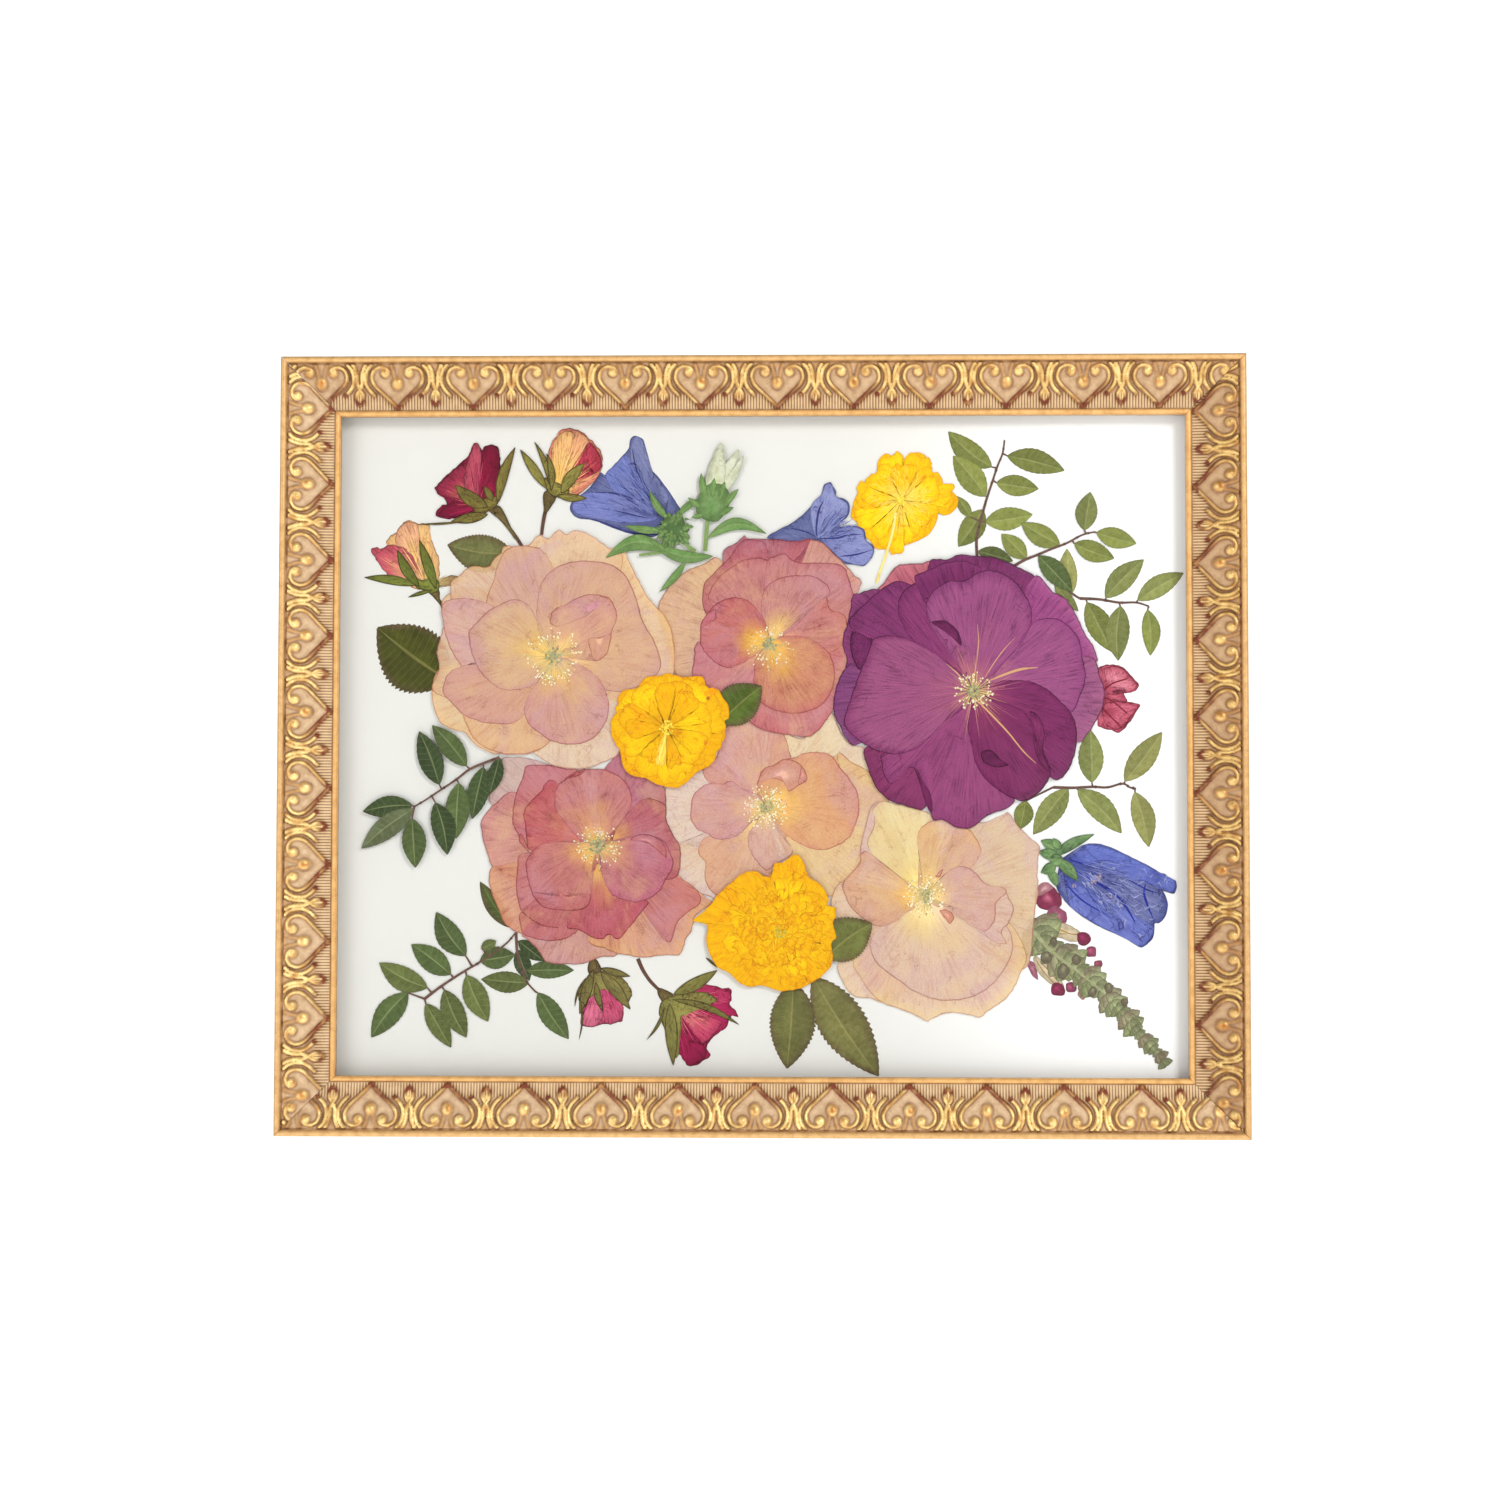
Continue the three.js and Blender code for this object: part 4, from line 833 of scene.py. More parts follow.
rose = Pressing()
HEART_AT = (86, 22)
PLUM, DEEP, FLAME = rgb(132, 56, 108), rgb(104, 32, 84), rgb(184, 110, 112)
PURPLE_PETALS = (
    ([(46, 62), (49, 65.5), (52, 69.5), (55, 73), (57.5, 73.8), (64, 74), (72, 74.5), (74, 60), (60, 52),
      (48, 56)], PLUM, rgb(176, 92, 110), rgb(190, 110, 118)),
    ([(68, 74.3), (75, 75.5), (80, 77.5), (87, 77), (94, 76.5), (100, 74.5), (104, 72.5), (109, 70),
      (113, 66.5), (116, 60), (104, 48), (86, 38), (68, 56)], PLUM, rgb(122, 46, 98), DEEP),
    ([(110, 68), (118, 62.5), (122, 60.5), (125, 57.5), (128.5, 51), (131, 45.5), (134.5, 40), (135.5, 37),
      (134.8, 33), (118, 26), (100, 40)], PLUM, rgb(148, 68, 124), rgb(164, 84, 136)),
    ([(133, 36), (136.7, 29), (138.7, 23), (138.5, 17), (136.5, 12), (134, 7.5), (131, 3.5), (127.5, 1),
      (112, 4), (100, 20), (112, 34)], PLUM, rgb(148, 82, 124), rgb(158, 92, 128)),
    ([(33.2, 45), (35, 50), (36, 56), (37, 61), (40, 62), (46, 63.5), (52, 60), (52, 40), (42, 26),
      (34, 28), (34.5, 35), (33, 40)], DEEP, rgb(116, 44, 96), rgb(132, 60, 108)),
    ([(29.2, 14), (29.8, 22), (33, 30), (37, 33), (44, 30), (46, 8), (38, 0), (33.5, 4), (31, 9)], PLUM,
     rgb(124, 62, 112), rgb(120, 58, 108)),
    ([(35.3, 50), (38, 54), (45, 60.5), (50, 64.5), (55, 66.7), (60, 65.7), (68, 60), (66, 42), (54, 40),
      (43, 43), (37, 47)], PLUM, rgb(124, 50, 102), rgb(112, 40, 92)),
    ([(42, -1), (42.5, -8), (44.5, -13), (46.5, -17.5), (50, -21), (54, -23.5), (60, -25), (65.5, -26),
      (70, -18), (62, -4), (52, 2)], PLUM, rgb(132, 50, 98), rgb(112, 32, 82)),
    ([(49.5, -3), (48.8, -8), (50, -13), (52, -15.7), (55, -14), (57.5, -10.5), (62, -9.5), (65, -15),
      (66, -22), (68, -27), (70, -30.5), (74, -30.5), (78, -33), (82, -34), (86, -33), (89, -30.5),
      (92, -28.5), (97, -26.5), (100.5, -25), (102.5, -21.5), (100, -10), (92, 8), (86, 16), (78, 12),
      (62, -2)], rgb(156, 80, 112), rgb(144, 66, 114), rgb(124, 46, 98)),
    ([(59, 64), (56, 60), (55.3, 55), (57, 49.5), (60, 44), (66, 40), (75, 33), (82, 27), (88, 40),
      (84, 58), (74, 66), (66, 67.5)], rgb(170, 88, 102), rgb(130, 52, 104), rgb(108, 36, 88)),
    ([(62, 68), (67, 71), (74, 74), (82, 75), (89, 72), (86, 68), (78, 66), (70, 62), (66, 60)], PLUM,
     rgb(112, 38, 90), rgb(126, 50, 102)),
    ([(92, 24), (98, 31), (104, 38), (108, 46), (112, 51), (120, 51.3), (126, 47), (129, 42), (130, 36),
      (131.3, 28), (129, 20), (125, 13), (114, 14), (100, 20)], rgb(186, 116, 124), rgb(150, 78, 126),
     rgb(138, 62, 118)),
    ([(67, 55), (67, 58.5), (70, 63), (76, 66.8), (82, 67), (88, 70.3), (94, 71), (101, 68), (106, 62.5),
      (109, 57), (109.8, 51), (108, 46), (104, 40), (98, 33), (92, 26), (87, 21), (83, 28), (81, 36),
      (79, 41), (73, 44), (70, 49), (67.3, 51.5)], FLAME, rgb(149, 76, 123), rgb(124, 50, 104)),
    ([(91, 24), (97, 26), (104, 26.4), (110, 25.5), (116, 22.5), (121, 18), (125, 13.5), (127.3, 8),
      (127.5, 0), (126, -6), (124, -10.5), (119, -14), (110, -8), (96, 4), (87, 16)], rgb(160, 72, 104),
     rgb(122, 42, 94), rgb(104, 30, 80)),
    ([(85, 19), (83.5, 13), (83.5, 7), (85, 0), (87, -8), (91, -14), (97, -19), (102, -21.7), (106, -22.6),
      (110, -20.7), (114, -17.3), (117, -12), (116, -7), (113, 0), (110.5, 7), (107, 13), (100, 16.5),
      (92, 19)], rgb(134, 52, 88), rgb(122, 42, 92), rgb(100, 26, 74)),
    ([(83, 26), (80, 30), (76, 33), (70, 37.5), (64, 41), (57, 43.8), (50, 44.6), (45, 42.5), (42, 35),
      (38.5, 26), (35.5, 17), (33.5, 9), (38, 3), (46, -2), (54, -3.6), (62, -1.7), (69, 4), (75, 11),
      (79.5, 17.5), (84, 20)], rgb(164, 92, 112), rgb(150, 78, 120), rgb(118, 40, 92)))
rose.petals(PURPLE_PETALS, HEART_AT, blush=0.3)
PURPLE_CURLS = (
    ([(69, 50), (74, 50.6), (78, 48.2), (80.3, 45), (81, 40.5), (77, 44), (73, 47)], (79, 43),
     rgb(112, 36, 86), rgb(106, 32, 82)),
    ([(108.5, 13.5), (112, 12), (114.5, 6), (114, -2), (117, -11), (112, -6), (110, 2), (110.5, 7)],
     (112, -4), rgb(92, 22, 68), rgb(126, 44, 94)),
    ([(89, -3), (93, -2), (97, -6), (100, -8), (95, -9), (90, -7)], (92, -5), rgb(88, 20, 66),
     rgb(110, 34, 84)),
    ([(40.5, 31), (37.5, 34), (36, 40), (37, 46), (43, 43.8), (45, 42)], (44, 42), rgb(98, 30, 80),
     rgb(112, 40, 92)),
    ([(62, -9.5), (65, -14), (68.5, -20), (69, -27), (66, -22), (64, -15)], (65, -14), DEEP,
     rgb(112, 34, 84)))
for outline, root, inner, outer in PURPLE_CURLS:
    rose.sheet(outline, root, inner, outer, rgb(84, 18, 64), torn=0.1)
for path, width in (([(86.5, 19), (93, 12.5), (100, 5), (106, -2.5), (111, -7.3)],
                     (1.6, 1.8, 1.4, 1.2, 0.5)),
                    ([(86, 26), (87, 33), (88, 42), (87.5, 49)], (1.5, 1.1, 0.9, 0.3)),
                    ([(92, 26), (98, 28.5), (105, 30.8), (112, 31.5)], (0.8, 2.2, 2.4, 0.5)),
                    ([(90.5, 27.5), (94, 33), (98, 38.5), (103, 44)], (0.6, 0.9, 0.8, 0.2)),
                    ([(82, 26), (79, 29.5), (75, 33)], (0.6, 1.2, 0.3))):
    along = np.linspace(0, 1, 4 * (len(path) - 1) + 1)
    rose.strand(path, 0.42 * np.interp(along, np.linspace(0, 1, len(width)), width), rgb(206, 158, 112))
draw = random.Random(9)
rose.level += 0.5
for k in range(80):
    angle, start, span = draw.uniform(0, 2 * math.pi), draw.uniform(3, 6), draw.uniform(3, 17)
    path = [around(HEART_AT, start + span * t, angle + 0.04 * t) for t in (0, 0.5, 1)]
    rose.thread(path, (0.22, 0.16, 0.05), rgb(176, 106, 118) if k % 4 else rgb(206, 156, 112),
                draw.uniform(0, 1))
rose.stamens(HEART_AT, 3.5, 8, 80, 5, 2.6)
rose.press("pressed_rose_purple", "rose_purple", PURPLE_TISSUE)

rose = Pressing()
HEART_AT = (-67, -40)
PINK_PETALS = (
    ([(-105.7, -5.5), (-100, -5), (-94, -5.5), (-86, -8), (-78, -9), (-84, -24), (-100, -26), (-110, -24),
      (-110, -17), (-108.5, -12)], rgb(222, 190, 150), rgb(208, 178, 168), rgb(206, 176, 168)),
    ([(-101, -19), (-107, -22.5), (-110.7, -26), (-114, -31), (-113.5, -37), (-111.5, -44), (-109, -50),
      (-104, -53.5), (-98, -57), (-88, -52), (-80, -40), (-88, -24)], rgb(222, 168, 134),
     rgb(212, 146, 134), rgb(206, 134, 128)),
    ([(-109, -49.5), (-110.7, -54), (-109.5, -60), (-107, -66), (-104, -72.5), (-98, -76.5), (-88, -78),
      (-78, -62), (-84, -52), (-98, -54), (-103, -52.5)], rgb(222, 176, 136), rgb(216, 152, 124),
     rgb(216, 138, 110)),
    ([(-97, -76), (-94, -79.5), (-90, -84), (-87, -88), (-80, -88.8), (-72, -88.5), (-65, -86),
      (-58, -84.5), (-58, -72), (-72, -62), (-88, -68)], rgb(214, 158, 136), rgb(206, 150, 138),
     rgb(204, 142, 128)),
    ([(-70, -78), (-63, -82.5), (-58, -84.5), (-52, -85.5), (-46, -86), (-38, -85), (-33, -85),
      (-31.5, -82), (-30.5, -79), (-28, -75), (-27, -70), (-24, -67), (-20, -64), (-22, -62), (-27, -58),
      (-31.5, -54.5), (-42, -48), (-58, -56)], rgb(224, 172, 130), rgb(220, 158, 124), rgb(228, 168, 116)),
    ([(-44, -50), (-37, -52), (-31.5, -54.7), (-26, -59), (-24.5, -64), (-30, -68), (-34, -72), (-37, -80),
      (-43, -74), (-50, -60)], rgb(222, 164, 124), rgb(204, 128, 122), rgb(206, 126, 112)),
    ([(-60, -5), (-57.5, -2.5), (-56, -6), (-54, -10), (-48, -12.5), (-43, -14.5), (-39.3, -17), (-39, -27),
      (-44, -34), (-58, -32), (-66, -18), (-64, -10)], rgb(206, 136, 130), rgb(186, 108, 128),
     rgb(176, 92, 108)),
    ([(-48, -22), (-39.2, -24), (-38.5, -30), (-36, -36), (-33, -41), (-32.7, -46), (-33, -50),
      (-34.5, -53.5), (-41, -54.5), (-50, -50), (-60, -40), (-56, -30)], GOLDEN, rgb(190, 108, 116),
     rgb(172, 86, 98)),
    ([(-95.5, -8.5), (-97, -13), (-100, -20), (-101, -27), (-101, -32), (-99, -36), (-96, -38), (-84, -36),
      (-76, -24), (-74, -11), (-80, -9.5), (-88, -8)], rgb(216, 146, 128), rgb(202, 126, 128),
     rgb(196, 114, 120)),
    ([(-97, -44), (-99, -50), (-99.5, -58), (-98, -66), (-94, -69), (-86, -73), (-79, -74), (-74, -60),
      (-80, -46)], rgb(214, 150, 128), rgb(202, 130, 130), rgb(196, 118, 120)),
    ([(-98, -68), (-94, -70.5), (-88, -73.5), (-80, -74.5), (-74, -74), (-77, -77.5), (-84, -79.5),
      (-92, -78.5), (-97, -76)], rgb(206, 130, 122), rgb(198, 118, 120), rgb(190, 106, 108)),
    ([(-89.5, -18.5), (-94, -23), (-96.7, -27), (-96, -33), (-95.5, -38), (-94, -42.7), (-86, -42),
      (-74, -39), (-70, -34), (-78, -24), (-84, -14.5), (-88, -15.5)], rgb(226, 150, 104),
     rgb(200, 108, 110), rgb(186, 82, 94)),
    ([(-69, -50), (-64, -49), (-62, -56), (-57, -62), (-46, -63.5), (-48, -67), (-53, -73.5),
      (-57.5, -78.7), (-61.5, -77), (-64.5, -78.7), (-69, -77.7), (-74, -75), (-79, -74), (-77, -67),
      (-71, -60)], GOLDEN, rgb(194, 98, 112), rgb(186, 86, 102)),
    ([(-84, -22), (-83.5, -17.5), (-80, -14), (-75, -10.6), (-68, -9.5), (-62, -10.5), (-56, -14),
      (-53, -19.5), (-53, -25), (-56, -30), (-60, -35), (-65, -41), (-72, -40), (-77, -35), (-81, -30),
      (-83.7, -26)], rgb(232, 180, 82), rgb(206, 136, 130), rgb(200, 122, 124)),
    ([(-72, -39.5), (-80, -39), (-87, -39.6), (-92, -42), (-95, -46), (-95.6, -50), (-94.5, -56),
      (-93, -60), (-91, -63.5), (-88, -66), (-82, -67), (-76, -67.2), (-70.5, -65.5), (-69, -60),
      (-69.5, -54.7), (-67, -49), (-66, -43)], GOLDEN, rgb(204, 130, 126), rgb(192, 104, 108)),
    ([(-64, -41), (-65, -46), (-65, -51), (-63.5, -56), (-61, -60), (-57, -62.5), (-51, -63.8),
      (-46, -62.6), (-41, -59), (-38.5, -54), (-36, -50), (-36, -46), (-38, -41), (-41, -38), (-46, -36.3),
      (-51, -36.8), (-57, -39)], rgb(232, 180, 92), rgb(198, 124, 134), rgb(188, 102, 130)))
rose.petals(PINK_PETALS, HEART_AT)
PINK_CURLS = (
    ([(-93, -60), (-90.5, -63.8), (-88, -66), (-82, -67), (-76, -67.2), (-70.5, -65.5), (-69.5, -60.5),
      (-78, -61.5), (-86, -61)], (-78, -60), rgb(202, 124, 122), rgb(198, 120, 122)),
    ([(-53, -38.4), (-50, -36.4), (-46, -36.3), (-42, -37.8), (-39, -41), (-38.5, -46), (-41.5, -42.5),
      (-47, -39.5)], (-47, -38.5), rgb(204, 130, 124), rgb(196, 118, 118)),
    ([(-80, -13.8), (-76, -11), (-71.5, -9.6), (-74, -12.3)], (-75, -11.5), rgb(120, 36, 48),
     rgb(140, 52, 60)),
    ([(-97.8, -36), (-98.4, -39), (-96, -42), (-94.5, -43.3), (-96, -38.6)], (-96.7, -39), rgb(170, 84, 88),
     rgb(188, 104, 108)))
for outline, root, inner, outer in PINK_CURLS:
    rose.sheet(outline, root, inner, outer, rgb(190, 106, 108), torn=0.1)
rose.stamens((-66.5, -40.5), 4.5, 9.8, 78, 12, 3.4, lambda a: 0.75 if math.sin(a) >= 0.8 else 1.0)
rose.press("pressed_rose_pink", "rose_pink", MAUVE_TISSUE)

rose = Pressing()
HEART_AT = (2, -25)
CORAL_PETALS = (
    ([(7, 8), (12, 4), (17, 3.2), (22, 6.5), (28, 13.5), (32, 6), (36, 0.5), (41.5, -1), (46, -8),
      (51, -18), (47, -25), (36, -28), (16, -22), (4, -8)], rgb(234, 206, 156), rgb(232, 206, 168),
     rgb(234, 208, 172)),
    ([(31, -3.5), (37, -7), (44, -11), (49, -16), (52, -21.3), (50, -25), (47, -30), (45.5, -34), (44, -41),
      (40, -51), (35, -59), (26, -61), (17, -56), (10, -42), (14, -30), (32, -20)], rgb(232, 188, 134),
     rgb(229, 189, 134), rgb(226, 181, 130)),
    ([(-41, -19), (-33, -13.5), (-24, -8), (-17, -5), (-10, -20), (-14, -36), (-25, -47), (-31, -45.5),
      (-36, -42), (-40, -36), (-39.5, -29.8), (-41.5, -26)], rgb(226, 192, 166), rgb(226, 198, 182),
     rgb(226, 202, 190)),
    ([(-36, -41), (-36, -48), (-34, -55), (-27, -59), (-21, -61.5), (-18, -62), (-12, -52), (-16, -42),
      (-26, -41)], rgb(224, 190, 166), rgb(222, 194, 180), rgb(220, 192, 184)),
    ([(-24, -9.5), (-18, -4), (-16, 4), (-12, 11), (-4, 13), (4, 12), (8, 7), (11, -1), (12, -8), (9, -20),
      (2, -26), (-8, -20), (-20, -16)], rgb(238, 192, 104), rgb(214, 154, 138), rgb(206, 142, 134)),
    ([(-24.5, -39), (-25.5, -44), (-22.5, -48), (-23, -53), (-21, -58.5), (-15, -62), (-8, -58),
      (-2, -53.5), (5, -53), (6, -44), (3, -32), (-10, -31), (-20, -36)], rgb(238, 200, 122),
     rgb(224, 172, 140), rgb(218, 158, 134)),
    ([(2, -29), (-1.6, -20), (-1.3, -13.5), (1, -9.6), (5, -8), (9, -5.6), (13.5, -5), (17, -3.2),
      (22, -2.8), (28, -4), (32, -9), (36, -14), (39, -19), (39.7, -26), (38.3, -32), (36, -37), (30, -41),
      (24, -42.6), (18, -41), (12, -38), (8, -35), (4, -31)], rgb(240, 190, 84), rgb(226, 166, 124),
     rgb(212, 140, 124)),
    ([(5, -26), (0, -21), (-5, -18.5), (-9.5, -17), (-12, -14.5), (-16, -15.6), (-21, -15.3), (-25, -17.3),
      (-28, -21), (-28.7, -26), (-28.6, -30), (-26, -34), (-22, -36), (-19, -38), (-14, -38), (-9, -36.5),
      (-5, -32)], rgb(238, 190, 92), rgb(214, 160, 150), rgb(206, 148, 150)),
    ([(3, -27), (-3, -32.5), (-5.5, -38), (-4.5, -43), (-1.5, -47.5), (2, -50.7), (6, -48.3), (11, -45.5),
      (12.7, -42.5), (9, -37.5), (6, -33)], rgb(226, 184, 140), rgb(218, 176, 162), rgb(210, 162, 152)))
rose.petals(CORAL_PETALS, HEART_AT)
CORAL_CURLS = (
    ([(-1.3, -15), (1, -9.6), (5, -8), (9, -5.6), (14, -6.5), (17, -9.5), (18.3, -14), (15, -16.5),
      (11, -18.8), (9, -15), (4, -13.5)], (8, -12), rgb(226, 176, 150), rgb(216, 160, 146)),
    ([(16, -9), (17.5, -9.8), (18.5, -14), (15, -16), (15.5, -12)], (16.7, -12), rgb(200, 128, 138),
     rgb(210, 144, 142)))
for outline, root, inner, outer in CORAL_CURLS:
    rose.sheet(outline, root, inner, outer, rgb(212, 148, 128), torn=0.1)
rose.stamens(HEART_AT, 3, 9.5, 120, 21, 2.6)
rose.press("pressed_rose_coral", "rose_coral", PEACH_TISSUE)

rose = Pressing()
HEART_AT = (66, -61)
CREAM_PETALS = (
    ([(80, -32), (90, -31), (97, -28.5), (100, -27.3), (103.5, -32), (108, -37), (112.5, -41), (112, -46),
      (111.5, -52), (112, -58), (110.7, -66), (109.7, -76), (109, -84), (106.5, -90), (98, -90), (84, -72),
      (74, -56), (78, -42)], rgb(224, 192, 140), rgb(216, 182, 145), rgb(212, 178, 154)),
    ([(28, -66), (30, -58), (34, -55), (40, -60), (50, -70), (52, -80), (60, -96), (50, -103.5),
      (44, -102.3), (37.5, -101.5), (34, -97.5), (31.3, -92), (31, -88.5), (36, -84), (32, -76)],
     rgb(230, 198, 160), rgb(228, 192, 164), rgb(232, 200, 160)),
    ([(37, -88), (42, -97), (48, -103.5), (57, -107), (63, -109.3), (67, -111.7), (69, -110.3), (76, -108),
      (84, -109), (88, -110), (92, -107), (98, -103), (102, -98), (104.5, -92.5), (107, -84), (98, -70),
      (76, -64), (50, -72), (40, -80)], rgb(232, 198, 150), rgb(228, 188, 160), rgb(238, 206, 146)),
    ([(40, -44), (41.8, -34), (44.5, -25), (48.5, -23.5), (52, -34), (50, -44), (45, -46)],
     rgb(226, 196, 180), rgb(224, 194, 184), rgb(220, 186, 174)),
    ([(45, -26), (49, -22.5), (55, -24), (62, -25.5), (69, -29), (72, -42), (68, -60), (60, -56), (50, -49),
      (44, -43), (43, -38.5), (46, -31)], rgb(242, 214, 116), rgb(238, 214, 152), rgb(232, 206, 160)),
    ([(64, -60), (63.5, -52), (63.8, -44), (63, -38), (65, -33), (70, -30), (76, -30), (82, -33), (85, -35),
      (88.7, -41), (88, -45), (85, -49.5), (78, -56), (70, -62)], rgb(240, 204, 110), rgb(228, 184, 138),
     rgb(226, 172, 128)),
    ([(66, -58), (58, -68), (50, -72.5), (45, -77), (44, -82), (46.5, -88), (51, -92), (56, -95.5),
      (62, -99.5), (72, -103), (84, -102), (94, -96), (101, -85), (101, -77), (97, -71), (88, -68),
      (76, -64)], rgb(240, 214, 140), rgb(228, 196, 172), rgb(218, 184, 174)),
    ([(98, -58), (100, -62), (102, -66), (100.5, -71), (97, -75.5), (99, -80), (93, -79), (89, -72),
      (92, -62)], rgb(226, 188, 160), rgb(224, 190, 172), rgb(220, 184, 170)),
    ([(68, -60), (72, -54.5), (77, -50), (82, -49), (86, -51), (90, -55.5), (94, -57), (98, -57.6),
      (99, -60), (95, -64), (94.5, -70), (92, -74.3), (89, -75), (86, -73), (83.5, -68), (78, -65.5),
      (70, -65)], rgb(238, 200, 124), rgb(222, 180, 160), rgb(216, 168, 152)),
    ([(66, -60), (60, -57), (53, -51), (46, -45.5), (42.5, -43), (40, -44), (39.5, -48), (33, -56),
      (34, -61), (36, -65.3), (42, -71), (48, -73.3), (54, -71.5), (60, -67), (64, -64)], rgb(240, 184, 74),
     rgb(222, 174, 142), rgb(214, 162, 138)))
rose.petals(CREAM_PETALS, HEART_AT)
for outline, root in (([(72, -67), (75, -66.4), (78, -69.5), (76.3, -72.3), (74.3, -70.3)], (75, -68.7)),
                      ([(70.5, -53), (73.5, -50), (72.3, -53.2)], (72, -52))):
    rose.sheet(outline, root, rgb(220, 160, 138), rgb(222, 170, 148), rgb(204, 128, 108), torn=0.3)
rose.stamens(HEART_AT, 2.5, 8.5, 120, 33, 3.0)
rose.press("pressed_rose_cream", "rose_cream", PEACH_TISSUE)


# Three double yellow garden flowers, pressed and glued down, two of them over the roses' edges.
# They are crowded with thin ruffled petals that shine a little and crease toward the heart.
# On the bottom one, short dark threads paint shade in the folds and pale ones paint highlights.
YELLOW_TISSUE = petal_material("yellow_petals", 0.0, linear(244, 192, 60), 0.9, linear(232, 168, 40), 0.45,
                               relief=1.0, roughness=0.5, crease_shade=0.6, mottle=0.3)


def spoon(root, angle, reach, width, notch=0.03, sway=0.0):
    """Outline of a petal with a narrow root at the heart and a broad end."""
    turn = math.radians(angle)
    along = np.array([math.cos(turn), math.sin(turn)])
    across = np.array([-math.sin(turn), math.cos(turn)])
    half = ((0.12, 0.08), (0.4, 0.27), (0.66, 0.45), (0.86, 0.47), (0.97, 0.27))
    shape = [(t, w) for t, w in half] + [(1 - notch, 0)] + [(t, -w) for t, w in reversed(half)]
    return [tuple(np.asarray(root) + reach * t * along + (width * w + sway * t * t) * across)
            for t, w in shape]


SUN, AMBER, LEMON = rgb(226, 166, 0), rgb(212, 150, 0), rgb(244, 201, 8)
YELLOWS = {
    "yellow_flower_left": ((-38.5, 7), 3.0,
        [(-39, 29), (-36, 28.8), (-34, 27.5), (-29, 27.8), (-24, 27.7), (-22, 23), (-19.5, 23.3),
         (-17.5, 22.5), (-15.5, 19), (-13.5, 16), (-13.2, 11), (-15, 9.5), (-14.7, 4), (-16.5, 0),
         (-18, -2), (-18.5, -5), (-20.5, -8), (-23, -9.5), (-26, -11), (-29, -14), (-31.5, -16),
         (-34, -17.5), (-38, -17), (-42, -16), (-45, -14.5), (-47.5, -13.2), (-51, -12.8), (-54, -11.5),
         (-56, -9), (-57, -5), (-57.5, -2), (-59, 0), (-60.8, 4), (-61, 8), (-59.5, 12), (-58, 15),
         (-58.3, 19), (-56.5, 22), (-52.5, 22.8), (-50.5, 23), (-48.5, 26), (-45.5, 28), (-41, 28.2)],
        [(89, 21.5, 12), (107, 21.5, 12), (141, 22.5, 14), (180, 22, 14), (225, 22.5, 14), (250, 21.5, 11),
         (276, 24, 12), (295, 21.5, 12), (320, 21.5, 13), (348, 23.5, 14), (14, 24.5, 14), (37, 24.5, 13),
         (57, 23.5, 13), (124, 20.5, 12), (161, 20, 11), (203, 20.5, 12), (72, 20, 10), (0, 19, 10),
         (307, 18.5, 9), (334, 18, 10), (27, 19, 10), (98, 18.5, 9), (46, 18, 9), (188, 17, 8),
         (242, 16, 7), (285, 17, 6.5)]),
    "yellow_flower_bottom": ((7.5, -75.5), 2.6,
        [(5.5, -48), (8.5, -47.5), (11, -45.8), (13.5, -44.3), (15.5, -45), (17.5, -48), (18, -51),
         (20, -54), (23.5, -56), (26, -59), (27.3, -62.5), (26.5, -66), (28, -70), (30, -76), (30.3, -78),
         (28.5, -80), (28.8, -84), (28.5, -88.5), (25, -93), (20.5, -96), (15, -98.5), (8, -99.5), (3, -98),
         (-1, -97.3), (-4.5, -97.8), (-9, -96), (-13, -92), (-17, -90.3), (-19.5, -87), (-21.5, -83),
         (-22.3, -78), (-21.8, -73), (-27.5, -71), (-24, -68), (-20, -64), (-18, -61), (-13, -56.5),
         (-9, -53), (-5, -51), (-1, -51.5), (1, -53), (4, -53), (4.5, -51)], None),
    "yellow_flower_top": ((57, 100), 2.4,
        [(50.5, 119), (53, 118), (56, 115.3), (57.7, 116), (59.5, 118.3), (63, 119.5), (66, 118.5),
         (68.5, 115), (69, 111.5), (71.5, 111.2), (73.5, 108.5), (74, 105), (76.5, 104), (79.8, 101),
         (79.5, 97.5), (77, 94.5), (74, 93.7), (72, 95), (71, 91), (68, 86), (64, 83.5), (58.5, 81.5),
         (56, 80.5), (54.5, 78), (52.5, 77.8), (51.7, 79.5), (47, 80), (44.5, 82.5), (43, 87), (40.5, 90),
         (37, 92), (36.3, 94), (37.5, 99.5), (39.5, 103), (41.5, 106), (45.5, 108.5), (47, 111.5),
         (46.9, 114), (48, 117)],
        [(109, 20, 11), (72, 20.5, 12), (35, 18, 11), (0, 22.3, 11), (-35, 16, 11), (-63, 18, 11),
         (-87, 18.5, 9), (-100, 22.3, 6), (-117, 21.5, 13), (-140, 19, 13), (-162, 20.5, 13), (177, 19, 12),
         (154, 16, 12), (129, 17, 12), (90, 15, 11), (15, 16, 11), (-48, 15, 10)])}
PETAL_RINGS = ((24, 7, 22), (21.5, 6.5, 22), (18.5, 6, 20), (15.5, 5.4, 18), (12.5, 4.8, 15),
               (9.5, 4, 13), (7, 3.4, 11), (4.6, 2.7, 8))
